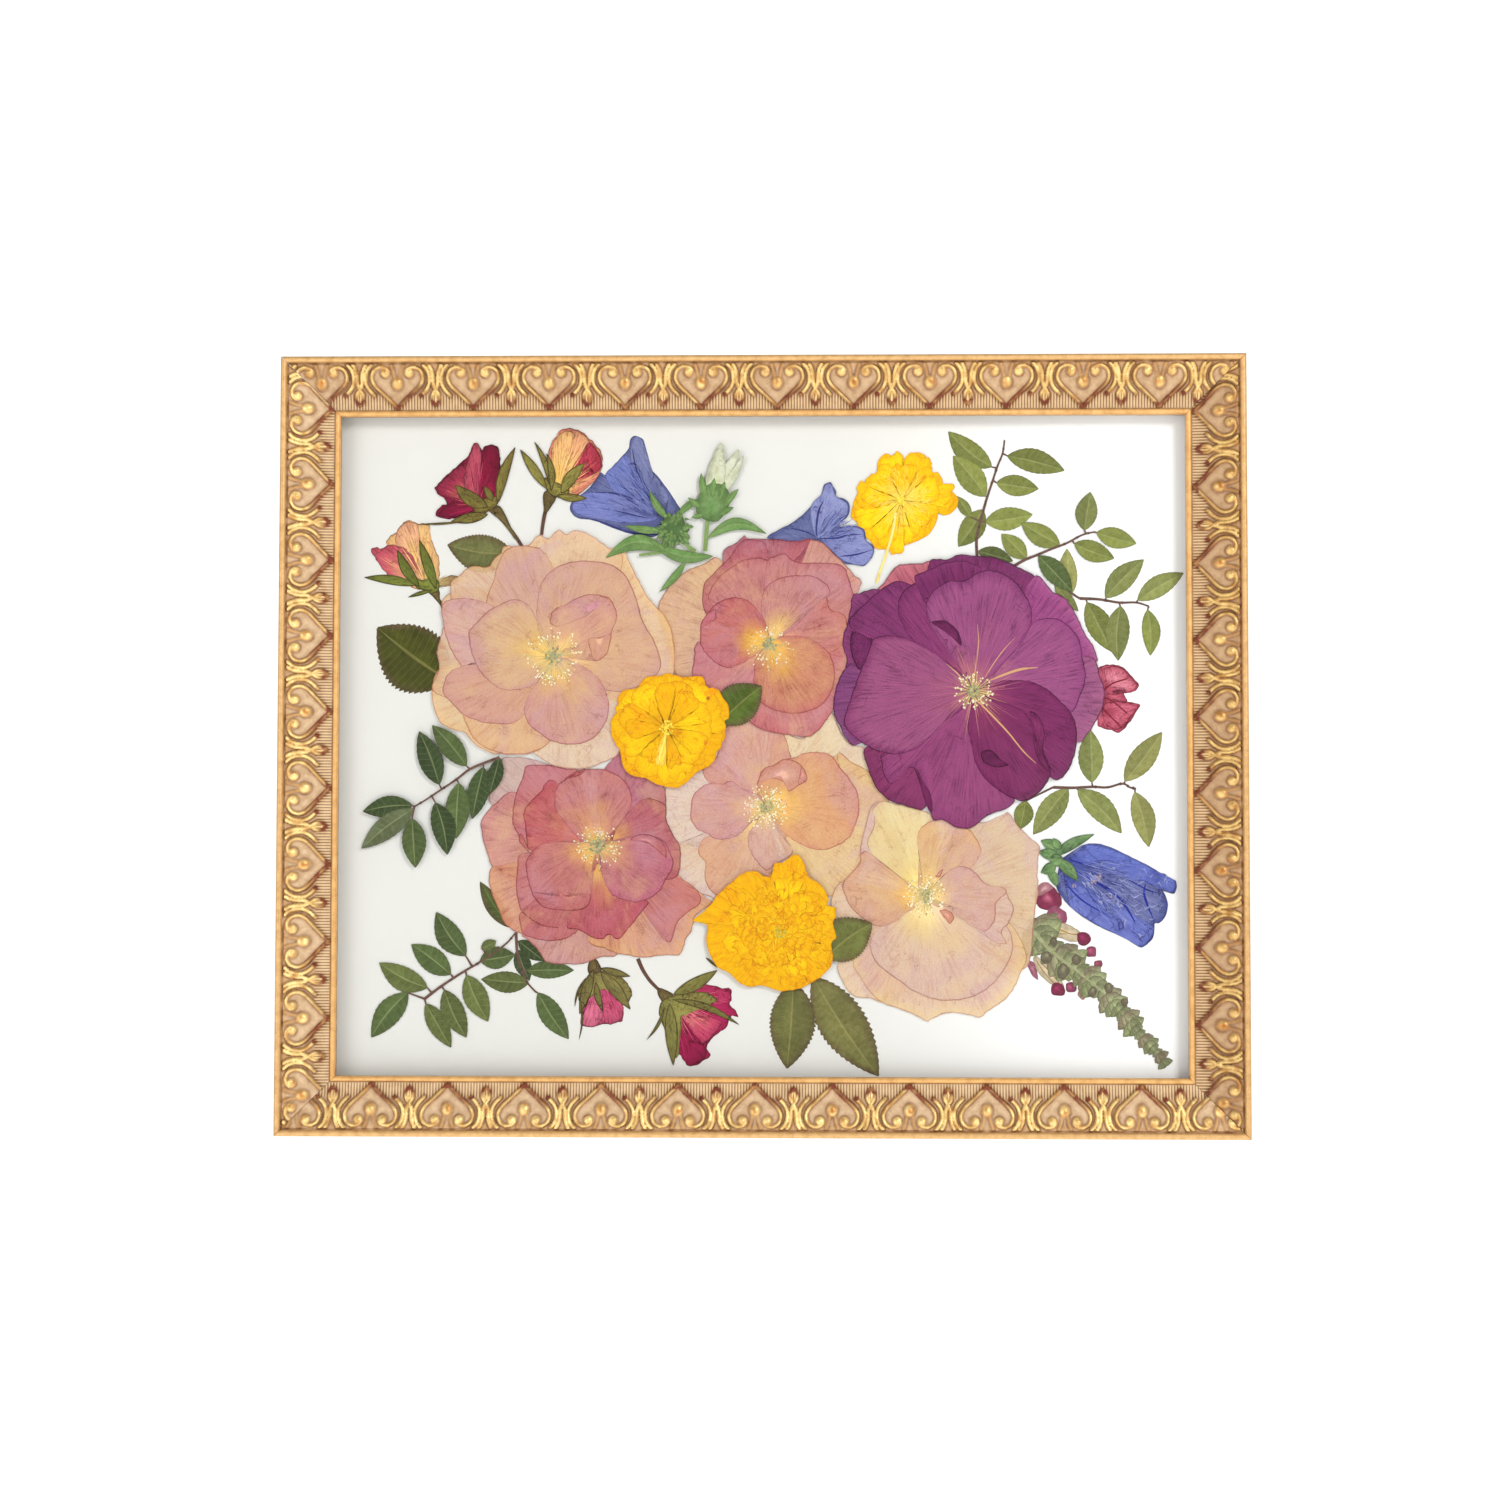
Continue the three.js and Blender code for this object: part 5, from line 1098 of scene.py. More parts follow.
for node, (heart, heart_size, outline, petals) in YELLOWS.items():
    bloom = Pressing()
    draw = random.Random(int(heart_size * 10))
    at_left, at_top, ruffled = node == "yellow_flower_left", node == "yellow_flower_top", petals is None
    glow = np.array([1.08, 1.16, 1.0]) if at_top else 1.0
    root_tone = rgb(240, 208, 96) if at_top else AMBER
    bloom.sheet(outline, heart, AMBER, SUN * glow, rgb(222, 164, 0) * glow, torn=0.3, veins=0.5)
    if ruffled:
        petals = [(angle + draw.uniform(-12, 12), reach * draw.uniform(0.82, 1.04),
                   width * draw.uniform(0.6, 1.3))
                  for reach, width, count in PETAL_RINGS
                  for angle in np.arange(count) * 360 / count + draw.uniform(0, 20)]
    for angle, reach, width in petals:
        tone = draw.uniform(0, 1)
        shape = spoon(heart, angle, reach, width, draw.uniform(-0.03, 0.12), draw.uniform(-2.6, 2.6))
        bloom.sheet(shape, heart, root_tone * draw.uniform(0.88, 1.0),
                    (SUN * (1 - tone) + LEMON * tone) * glow, rgb(216, 158, 0) * glow, rings=6, torn=0.9,
                    veins=0.45, steps=4)
    if at_left:
        bloom.sheet(spoon(heart, 257, 16, 4.2, 0.05, 0.6), heart, rgb(232, 184, 30), rgb(240, 204, 80),
                    rings=6)
        bloom.level += 1
        bloom.thread([(-38.5, 7), (-39.6, 1), (-41.2, -4), (-42, -8)], (0.3, 0.5, 0.5, 0.2),
                     rgb(255, 224, 110))
        for x, z, size, colour in ((-21.7, 19, 0.9, rgb(176, 104, 20)), (-20, 22, 1.6, rgb(248, 150, 10)),
                                   (-22.4, 21, 1.2, rgb(250, 156, 10))):
            bloom.grain(x, z, size, colour, 1)
    if at_top:
        bloom.level += 1
        pedicel = smooth_curve([(54.5, 95), (53.5, 88), (51, 79), (48, 70.5), (46.7, 66)], 4)
        bloom.thread(pedicel, 1.0, rgb(232, 214, 130))
    for k in range(0 if at_left else 150):
        angle, reach = draw.uniform(0, 2 * math.pi), draw.uniform(2, 11 if at_top else 21)
        turn = angle + draw.uniform(-0.5, 0.5) * (0.3 if at_top else 1)
        turn += math.pi / 2 if draw.random() < 0.45 and not at_top else 0
        start = around(heart, reach, angle)
        span = draw.uniform(0.8, 2.6)
        # On the bottom flower these threads are painted shade in the folds, every third a painted highlight;
        # on the top flower they are pale rays of its own colour.
        crease = rgb(240, 208, 86) if at_top else rgb(196, 126, 0) if k % 3 else rgb(240, 196, 30)
        bloom.thread([start, around(start, span, turn), around(start, 2 * span, turn + 0.4)],
                     (0.12, draw.uniform(0.2, 0.42), 0.06), crease, draw.uniform(0, 1))
    for k in range(26 if ruffled else 46):
        angle, reach = draw.uniform(0, 2 * math.pi), heart_size * draw.random() ** 0.7
        colour = rgb(196, 176, 60) if ruffled else rgb(250, 214, 70)
        bloom.grain(*around(heart, reach, angle), draw.uniform(0.3, 0.6), colour * draw.uniform(0.65, 1.1),
                    draw.uniform(0.5, 3))
    bloom.press("pressed_" + node, node, YELLOW_TISSUE)


# Three blue bellflowers, each a tube of fused petals pressed flat, so that it folds and creases
# along its ribs, and glued down. The right one keeps its green calyx and a few pale blemishes.
BLUE_TISSUE = petal_material("bell_petals", 0.0, linear(150, 146, 190), 0.85, linear(120, 116, 160), 0.6,
                             relief=1.0, roughness=0.62, crease_shade=0.75, mottle=0.6)
NAVY, IRIS, SKY = rgb(52, 56, 114), rgb(78, 86, 134), rgb(112, 118, 158)
BELLS = {
    "bellflower_left": ((-39, 91),
        [(-52, 126.7), (-48.5, 125), (-47.8, 121), (-48, 116), (-43, 110.5), (-38, 104), (-34.5, 98.5),
         (-33.3, 96.5), (-35, 94.5), (-40, 92), (-42, 90.3), (-41, 88.5), (-43, 85.5), (-48, 85),
         (-54, 86.5), (-60, 88.5), (-66, 91), (-70, 92.5), (-74, 92.5), (-77, 94), (-78.5, 97),
         (-77, 100.5), (-72, 104), (-68.5, 108), (-66, 111.5), (-64, 110.8), (-60, 115.3), (-57, 118.5),
         (-54.5, 121.5), (-54, 125)],
        [([(-52, 126.4), (-49, 124.6), (-48.3, 119), (-47, 114.5), (-42, 108), (-38, 101), (-42, 99),
           (-49, 107), (-53, 114), (-53.8, 121)], (-39, 96), IRIS, SKY),
         ([(-64, 110.4), (-60, 114.8), (-56, 118.6), (-53, 114), (-47, 104), (-42, 97), (-52, 100.5),
           (-60, 103.4)], (-40, 95), IRIS, rgb(104, 114, 172)),
         ([(-77.6, 98), (-74, 102.3), (-68, 103.5), (-60, 102.5), (-51, 99.7), (-43, 97), (-44, 92),
           (-56, 91), (-66, 92.5), (-75, 94.5)], (-42, 94), IRIS, rgb(112, 120, 178))],
        [([(-68, 103.5), (-60, 103), (-52, 100.5), (-45, 100), (-42, 96)], 0.6),
         ([(-43, 86), (-54, 87), (-66, 91.4), (-75, 93.4)], 0.55),
         ([(-53, 121), (-51, 112), (-46, 104), (-41, 96)], 0.4),
         ([(-60, 96), (-52, 94), (-44, 92.5)], 0.4)], []),
    "bellflower_middle": ((21, 83),
        [(2.5, 84.5), (6, 87.5), (12, 90.5), (16, 93.5), (20, 97.5), (23, 100), (24.5, 103), (25.2, 106),
         (26.5, 107), (28, 107.3), (29, 105.5), (30.3, 103.5), (30.4, 101.3), (33, 100.7), (35.3, 99),
         (35.8, 96), (34.8, 93), (32.5, 91.3), (31.5, 89.5), (33.5, 89), (36, 89.5), (39, 89.3), (41.5, 88),
         (42.3, 85.5), (42.5, 83.5), (45, 81.5), (45.7, 80), (45.2, 77), (43.5, 75), (41.5, 73), (38, 73.5),
         (33, 74.5), (28, 80), (22.5, 84), (14, 83)],
        [([(20, 97), (24.5, 102.6), (26, 106.5), (28.6, 106.3), (30, 102), (34.8, 98.4), (34.6, 94),
           (31, 90.5), (26, 86.5), (22, 85)], (22, 85), rgb(106, 112, 162), rgb(132, 138, 182)),
         ([(24, 85), (31, 86.5), (36, 89), (41, 87.8), (42, 84), (45.4, 80.4), (45, 77), (41.5, 73.4),
           (34, 75), (28, 80)], (24, 83), rgb(102, 108, 160), rgb(126, 132, 180))],
        [([(25, 99.5), (23.3, 96), (22.4, 91), (22.2, 87), (22.7, 84.5)], 0.6),
         ([(23.5, 84.3), (31, 84.5), (35, 85.7), (41, 85.8)], 0.6),
         ([(32, 77), (38, 77.6), (45, 79.6)], 0.5), ([(12, 88.5), (18, 87), (22, 85)], 0.4)], []),
    "bellflower_right": ((121, -46),
        [(122, -47), (124, -44.5), (128, -41.5), (131, -40), (136, -39.7), (139, -40.5), (143, -42),
         (150, -45.5), (157, -49), (161, -51.5), (163, -52), (164.5, -54), (167, -54.5), (167.6, -57),
         (166.5, -59.8), (164, -59), (161.5, -57.8), (163, -60.5), (164, -64.5), (163, -69), (160.5, -71.7),
         (158.7, -72), (158.5, -75.5), (157.5, -78.5), (154.5, -81), (153, -81.5), (150, -80), (145, -77),
         (138, -74), (130, -69.5), (124, -64.5), (120.5, -60), (119, -56.5), (119.5, -53), (121, -51)],
        [([(131, -40.4), (143, -42.6), (157, -49.5), (163, -52.5), (167, -55), (166, -59), (161, -57.5),
           (150, -53), (138, -48)], (124, -46), rgb(70, 82, 160), rgb(94, 106, 178)),
         ([(124, -64), (134, -71.5), (148, -78.6), (153, -81), (157, -78), (158.2, -73), (151, -72),
           (142, -66), (132, -60)], (122, -52), rgb(68, 80, 158), rgb(102, 112, 180))],
        [([(124, -50), (131, -53), (138, -57), (144, -61), (147, -65), (150, -70), (151, -72.5)], 0.9),
         ([(155, -56), (154.5, -60), (156, -65), (158.5, -71)], 0.7),
         ([(125, -46.5), (130, -48), (143, -53)], 0.5), ([(123, -56), (130, -63), (142, -70)], 0.5),
         ([(146, -53), (155, -58), (161, -60)], 0.4)],
        [(136, -54, 2.0), (134, -55.4, 1.3), (126.3, -57.2, 1.5), (141, -61, 0.8), (129, -66, 0.7)])}
BELL_CALYX = (
    ((118, -45), (134.5, -36), 2.2),
    ((119, -46), (128, -55), 2.4),
    ((116, -50), (119.5, -57.3), 1.9),
    ((121, -41), (113, -38.5), 2.3),
    ((120, -44), (112, -43), 2.3),
    ((119, -48), (113, -51.5), 2.4),
    ((121, -42), (118, -37.6), 1.8),
    ((122, -46), (116, -46), 2.6))


def streak(draw, root, heading, far, start, span, sway):
    """A path of three points that runs out from a root, its numbers drawn from the ranges given."""
    start, span = draw.uniform(*start) * far, draw.uniform(*span) * far
    reaches = ((start, 0), (start + span / 2, sway[0]), (start + span, sway[1]))
    return [around(root, reach, heading + draw.uniform(-turn, turn) if turn else heading)
            for reach, turn in reaches]


for node, (root, outline, panels, folds, spots) in BELLS.items():
    bell = Pressing()
    at_right = node == "bellflower_right"
    deep, pale = (rgb(66, 76, 142), rgb(103, 109, 156)) if at_right else (IRIS, rgb(97, 103, 146))
    fold_tone = rgb(36, 44, 138) if at_right else NAVY
    bell.sheet(outline, root, deep, pale, deep * 0.85, veins=0.5, torn=0.15)
    for panel, panel_root, inner, outer in panels:
        bell.sheet(panel, panel_root, inner, outer, None, veins=0.4, torn=0.1)
    for path, width in folds:
        bell.level += 0.5
        curve = smooth_curve(path, 5)
        bell.thread(curve, width * np.sin(np.linspace(0.3, math.pi, len(curve))) * 1.3 + 0.08, fold_tone)
    draw = random.Random(len(outline))
    far = max(math.hypot(x - root[0], z - root[1]) for x, z in outline)
    middle = np.mean(outline, 0) - root
    heading = math.atan2(middle[1], middle[0])
    for k in range(90):
        turn = heading + draw.uniform(-0.42, 0.42)
        path = streak(draw, root, turn, far, (0.15, 0.5), (0.1, 0.32), (0.06, 0.06))
        bell.thread(path, (0.08, draw.uniform(0.15, 0.42), 0.06), pale * 1.45 if k % 3 else NAVY * 1.2,
                    draw.uniform(0, 1))
    for k in range(70 if at_right else 0):
        turn = heading + draw.uniform(-0.36, 0.36)
        path = streak(draw, root, turn, far, (0.25, 0.9), (0.02, 0.09), (0.05, 0.08))
        bell.thread(path, (0.1, draw.uniform(0.3, 0.9), 0.08),
                    rgb(142, 148, 188) * draw.uniform(0.75, 1.15), 0.3)
    for x, z, size in spots:
        for k in range(7):
            bell.grain(x + size * draw.uniform(-0.7, 0.7), z + size * draw.uniform(-0.6, 0.6),
                       size * draw.uniform(0.15, 0.4), rgb(160, 140, 150) * draw.uniform(0.7, 1.1), 0.6)
    if at_right:
        for base, tip, width in BELL_CALYX:
            bell.leaf(base, tip, width, rgb(76, 108, 64), rgb(126, 158, 100))
    bell.press("pressed_" + node, node, BLUE_TISSUE)


# Seven leafy sprigs, each a brown twig with its leaves, glued down. Dried leaf tissue is matt and
# slightly mottled, with a pale midrib and faint side veins, and the two halves of a leaf differ in
# tone with painted light and shade.
def leaf_material(name, rib_tone, roughness, rib_width):
    """Dried leaf tissue. UVs run along the leaf and across it, and twigs carry a solid of 1."""
    material, shader, wire = new_material(name, Roughness=roughness, Specular_IOR_Level=0.2)
    place = wire.place()
    tint = wire.layer("tint", 0)
    rim = wire.layer("rim")
    blade = 1 - wire.layer("solid")
    lay = wire.node("UVMap", {"uv_map": "veins"})
    length, across = lay.axis(0), lay.axis(1)
    off = wire.maths("ABSOLUTE", across)
    midrib = off.step(rib_width, rib_width * 0.3) * blade
    slant = wire.maths("SINE", length * 2.4 * math.pi - off * 1.6 * math.pi)
    side_vein = slant.step(0.86, 1.0) * blade * off.step(0.02, 0.2)
    mottle = place.noise(420, 4, 0.6)
    tissue = place.noise(1700, 2, 0.5)
    colour = (mottle.step(0.35, 0.7) * 0.5).tint(tint, linear(196, 190, 160), "MULTIPLY")
    # Painted shade: one half of the blade is darkened.
    colour = (across.step(-0.02, 0.02) * blade * 0.22).tint(colour, linear(20, 26, 12))
    colour = (side_vein * 0.1).tint(colour, rib_tone)
    colour = (midrib * 0.26).tint(colour, rib_tone)
    colour = (rim.step(0.5, 0.1) * blade * 0.35).tint(colour, linear(60, 50, 30))
    colour = (tissue.step(0.4, 0.75) * 0.18).tint(colour, linear(255, 255, 255), "OVERLAY")
    feed(shader, Base_Color=colour, Roughness=mottle.step(0.3, 0.7, roughness - 0.1, roughness + 0.12),
         Normal=bump(midrib * 0.8 + side_vein * 0.5 + tissue * 0.3, 0.5, 0.1))
    return material


SPRIG_LEAF = leaf_material("sprig_leaf", linear(176, 184, 128), 0.62, 0.1)
ROSE_LEAF = leaf_material("rose_leaf", linear(170, 160, 96), 0.68, 0.07)
SAGE, MOSS, TAN = rgb(131, 138, 70), rgb(134, 140, 80), rgb(156, 156, 92)
BOTTLE, FERN, OLIVE = rgb(62, 78, 44), rgb(84, 100, 56), rgb(98, 108, 58)
TWIG = rgb(102, 74, 66)
SPRIGS = {
    "sprig_top": ([(87.5, 77), (87.5, 85), (90.5, 97), (92, 102), (94, 108), (96, 114), (98, 119),
         (98.8, 124.5)],
        [((93.5, 113.5), (76, 128), 5.0, SAGE), ((91, 101.5), (78, 118), 5.4, SAGE),
         ((100, 118), (123, 112), 5.0, SAGE), ((95.5, 107), (112.5, 104.5), 4.4, SAGE),
         ((90, 96), (80, 81), 5.0, SAGE), ((85, 93), (79.5, 101.5), 2.4, SAGE),
         ((91, 91), (110, 94), 4.8, SAGE), ((88, 79), (102, 75), 3.5, OLIVE)]),
    "sprig_upper_right": ([(102.5, 73), (107, 75.5), (112, 77.5), (118, 80), (124, 82.3), (130, 85.5),
         (135, 86.8)],
        [((107.5, 76), (97.5, 86), 4.0, SAGE), ((121, 81.5), (105.5, 90.5), 4.5, SAGE),
         ((131, 87.5), (133.5, 103), 4.5, MOSS), ((136, 86.5), (152, 82), 4.2, SAGE),
         ((127, 82), (143, 76), 4.3, SAGE), ((112.5, 77), (126, 62.5), 4.5, FERN)]),
    "sprig_middle_right": ([(129, 59.7), (137, 59.3), (145, 58), (152, 58), (157, 56.5)],
        [((126, 62), (124, 80), 3.8, TAN), ((139.5, 60), (155, 75.5), 4.8, MOSS),
         ((152.5, 59), (171, 70), 4.3, MOSS), ((132, 58), (142, 38), 5.2, SAGE),
         ((145.5, 56.5), (144.5, 34.5), 5.0, MOSS), ((156.5, 55), (157.5, 36.5), 3.8, SAGE),
         ((119, 66), (128.5, 54.5), 2.6, MOSS)]),
    "sprig_right": ([(118, -17), (126, -17.2), (134, -16.8), (140, -17), (146, -15.5), (149, -17),
         (151.5, -17.5)],
        [((133.7, -15), (133, 6.5), 5.2, MOSS), ((147, -14.5), (162, 5.3), 5.0, TAN),
         ((124, -17.5), (110, -36), 5.0, MOSS), ((128, -18), (145.5, -35.5), 5.0, MOSS),
         ((151, -19), (156.5, -41), 4.7, TAN), ((107, -22.5), (104.5, -34), 4.0, SAGE)]),
    "sprig_left": ([(-106.5, -5), (-112, -7), (-118.5, -9.8), (-124, -14), (-130, -18), (-136, -22),
         (-141, -25)],
        [((-131, -16), (-139.3, 5.5), 5.0, BOTTLE), ((-120, -8.5), (-134, 8), 4.5, FERN),
         ((-113, -9), (-117.5, -30), 4.5, BOTTLE), ((-123, -15.5), (-124, -38), 5.0, FERN),
         ((-132.5, -23.5), (-127.5, -44.5), 5.0, BOTTLE), ((-142, -24.5), (-162, -27), 4.5, BOTTLE),
         ((-141.5, -26), (-162.5, -42), 4.7, rgb(112, 122, 88)), ((-142, -30), (-140.5, -49.8), 5.0, FERN),
         ((-106.5, -5), (-110.5, -20), 3.2, BOTTLE)]),
    "sprig_lower_left": ([(-136.5, -103), (-132, -99.5), (-127, -96), (-120, -91.5), (-114, -88),
         (-104, -81), (-99.5, -76)],
        [((-120, -85.5), (-132, -68), 5.2, FERN), ((-126, -93), (-142, -81), 5.0, FERN),
         ((-135.5, -98.5), (-155, -88.5), 5.0, OLIVE), ((-143.5, -100.5), (-158, -118.5), 5.2, FERN),
         ((-136, -105), (-125.7, -122.5), 4.2, OLIVE), ((-128.5, -99.5), (-119.5, -118.5), 4.8, OLIVE),
         ((-119.5, -93.5), (-110.7, -112), 5.0, OLIVE), ((-114, -87.5), (-100, -85), 4.6, FERN),
         ((-113.5, -82.3), (-107.5, -79.5), 2.3, OLIVE)]),
    "sprig_lower_middle": ([(-99.5, -76), (-99, -84), (-97.5, -90), (-95, -96), (-91.5, -100)],
        [((-99, -83), (-94, -95.5), 3.5, BOTTLE), ((-95, -91.5), (-76, -91.3), 3.75, FERN),
         ((-94.3, -96.5), (-113.5, -95), 4.4, OLIVE), ((-90.5, -100.5), (-78, -119), 4.75, FERN),
         ((-98.5, -79.5), (-88, -87.5), 3.4, BOTTLE)])}
for node, (stem, leaves) in SPRIGS.items():
    sprig = Pressing()
    draw = random.Random(len(node) * 7 + len(leaves))
    curve = smooth_curve(stem, 6)
    for base, tip, width, tone in leaves:
        near = curve[np.argmin(np.hypot(curve[:, 0] - base[0], curve[:, 1] - base[1]))]
        sprig.level += 0.4
        sprig.thread([near, (near + base) / 2, base], (0.9, 0.7, 0.6), TWIG)
        shade = tone * draw.uniform(0.82, 1.12)
        sprig.leaf(base, tip, width, shade * draw.uniform(0.8, 0.95), shade * draw.uniform(1.0, 1.2),
                   draw.uniform(-0.05, 0.05), teeth=10, notch=0.05)
    sprig.level += 1
    sprig.thread(curve, np.linspace(1.2, 0.65, len(curve)), TWIG)
    for k in range(3, len(curve) - 2, 5):
        sprig.grain(*curve[k], draw.uniform(0.5, 0.75), TWIG * draw.uniform(0.6, 1.0), 1)
    sprig.press("pressed_" + node, node, SPRIG_LEAF)

# Seven single leaves of the roses, with finely toothed edges that have dried brown. Each is glued
# down with its foot tucked under a flower.
ROSE_LEAVES = {
    "rose_leaf_top": ((-102, 78.5), (-128.5, 82), 8.0, rgb(100, 102, 60), rgb(120, 124, 72), 0.05),
    "rose_leaf_left": ((-127, 26), (-157, 48), 14.0, rgb(58, 61, 12), rgb(80, 83, 22), 0.02),
    "rose_leaf_centre": ((-17, 9), (0, 24), 8.5, rgb(72, 90, 30), rgb(94, 114, 42), 0.02),
    "rose_leaf_low_centre": ((26, -86), (44.7, -72), 9.0, rgb(98, 100, 50), rgb(120, 128, 66), 0.04),
    "rose_leaf_bottom_left": ((13, -96), (10.5, -130.6), 9.4, rgb(92, 96, 50), rgb(120, 118, 66), 0.01),
    "rose_leaf_bottom_right": ((21, -94), (47.3, -133.5), 9.8, rgb(106, 106, 58), rgb(134, 130, 76), -0.02),
    "rose_leaf_sliver": ((-102, -74), (-114.3, -55.5), 3.6, rgb(62, 82, 36), rgb(84, 104, 48), 0.02)}
for node, (base, tip, width, dark, light, bend) in ROSE_LEAVES.items():
    foliage = Pressing()
    foliage.leaf(base, tip, width, dark, light, bend, teeth=20, edge=rgb(96, 74, 56))
    foliage.press("pressed_" + node, node, ROSE_LEAF)


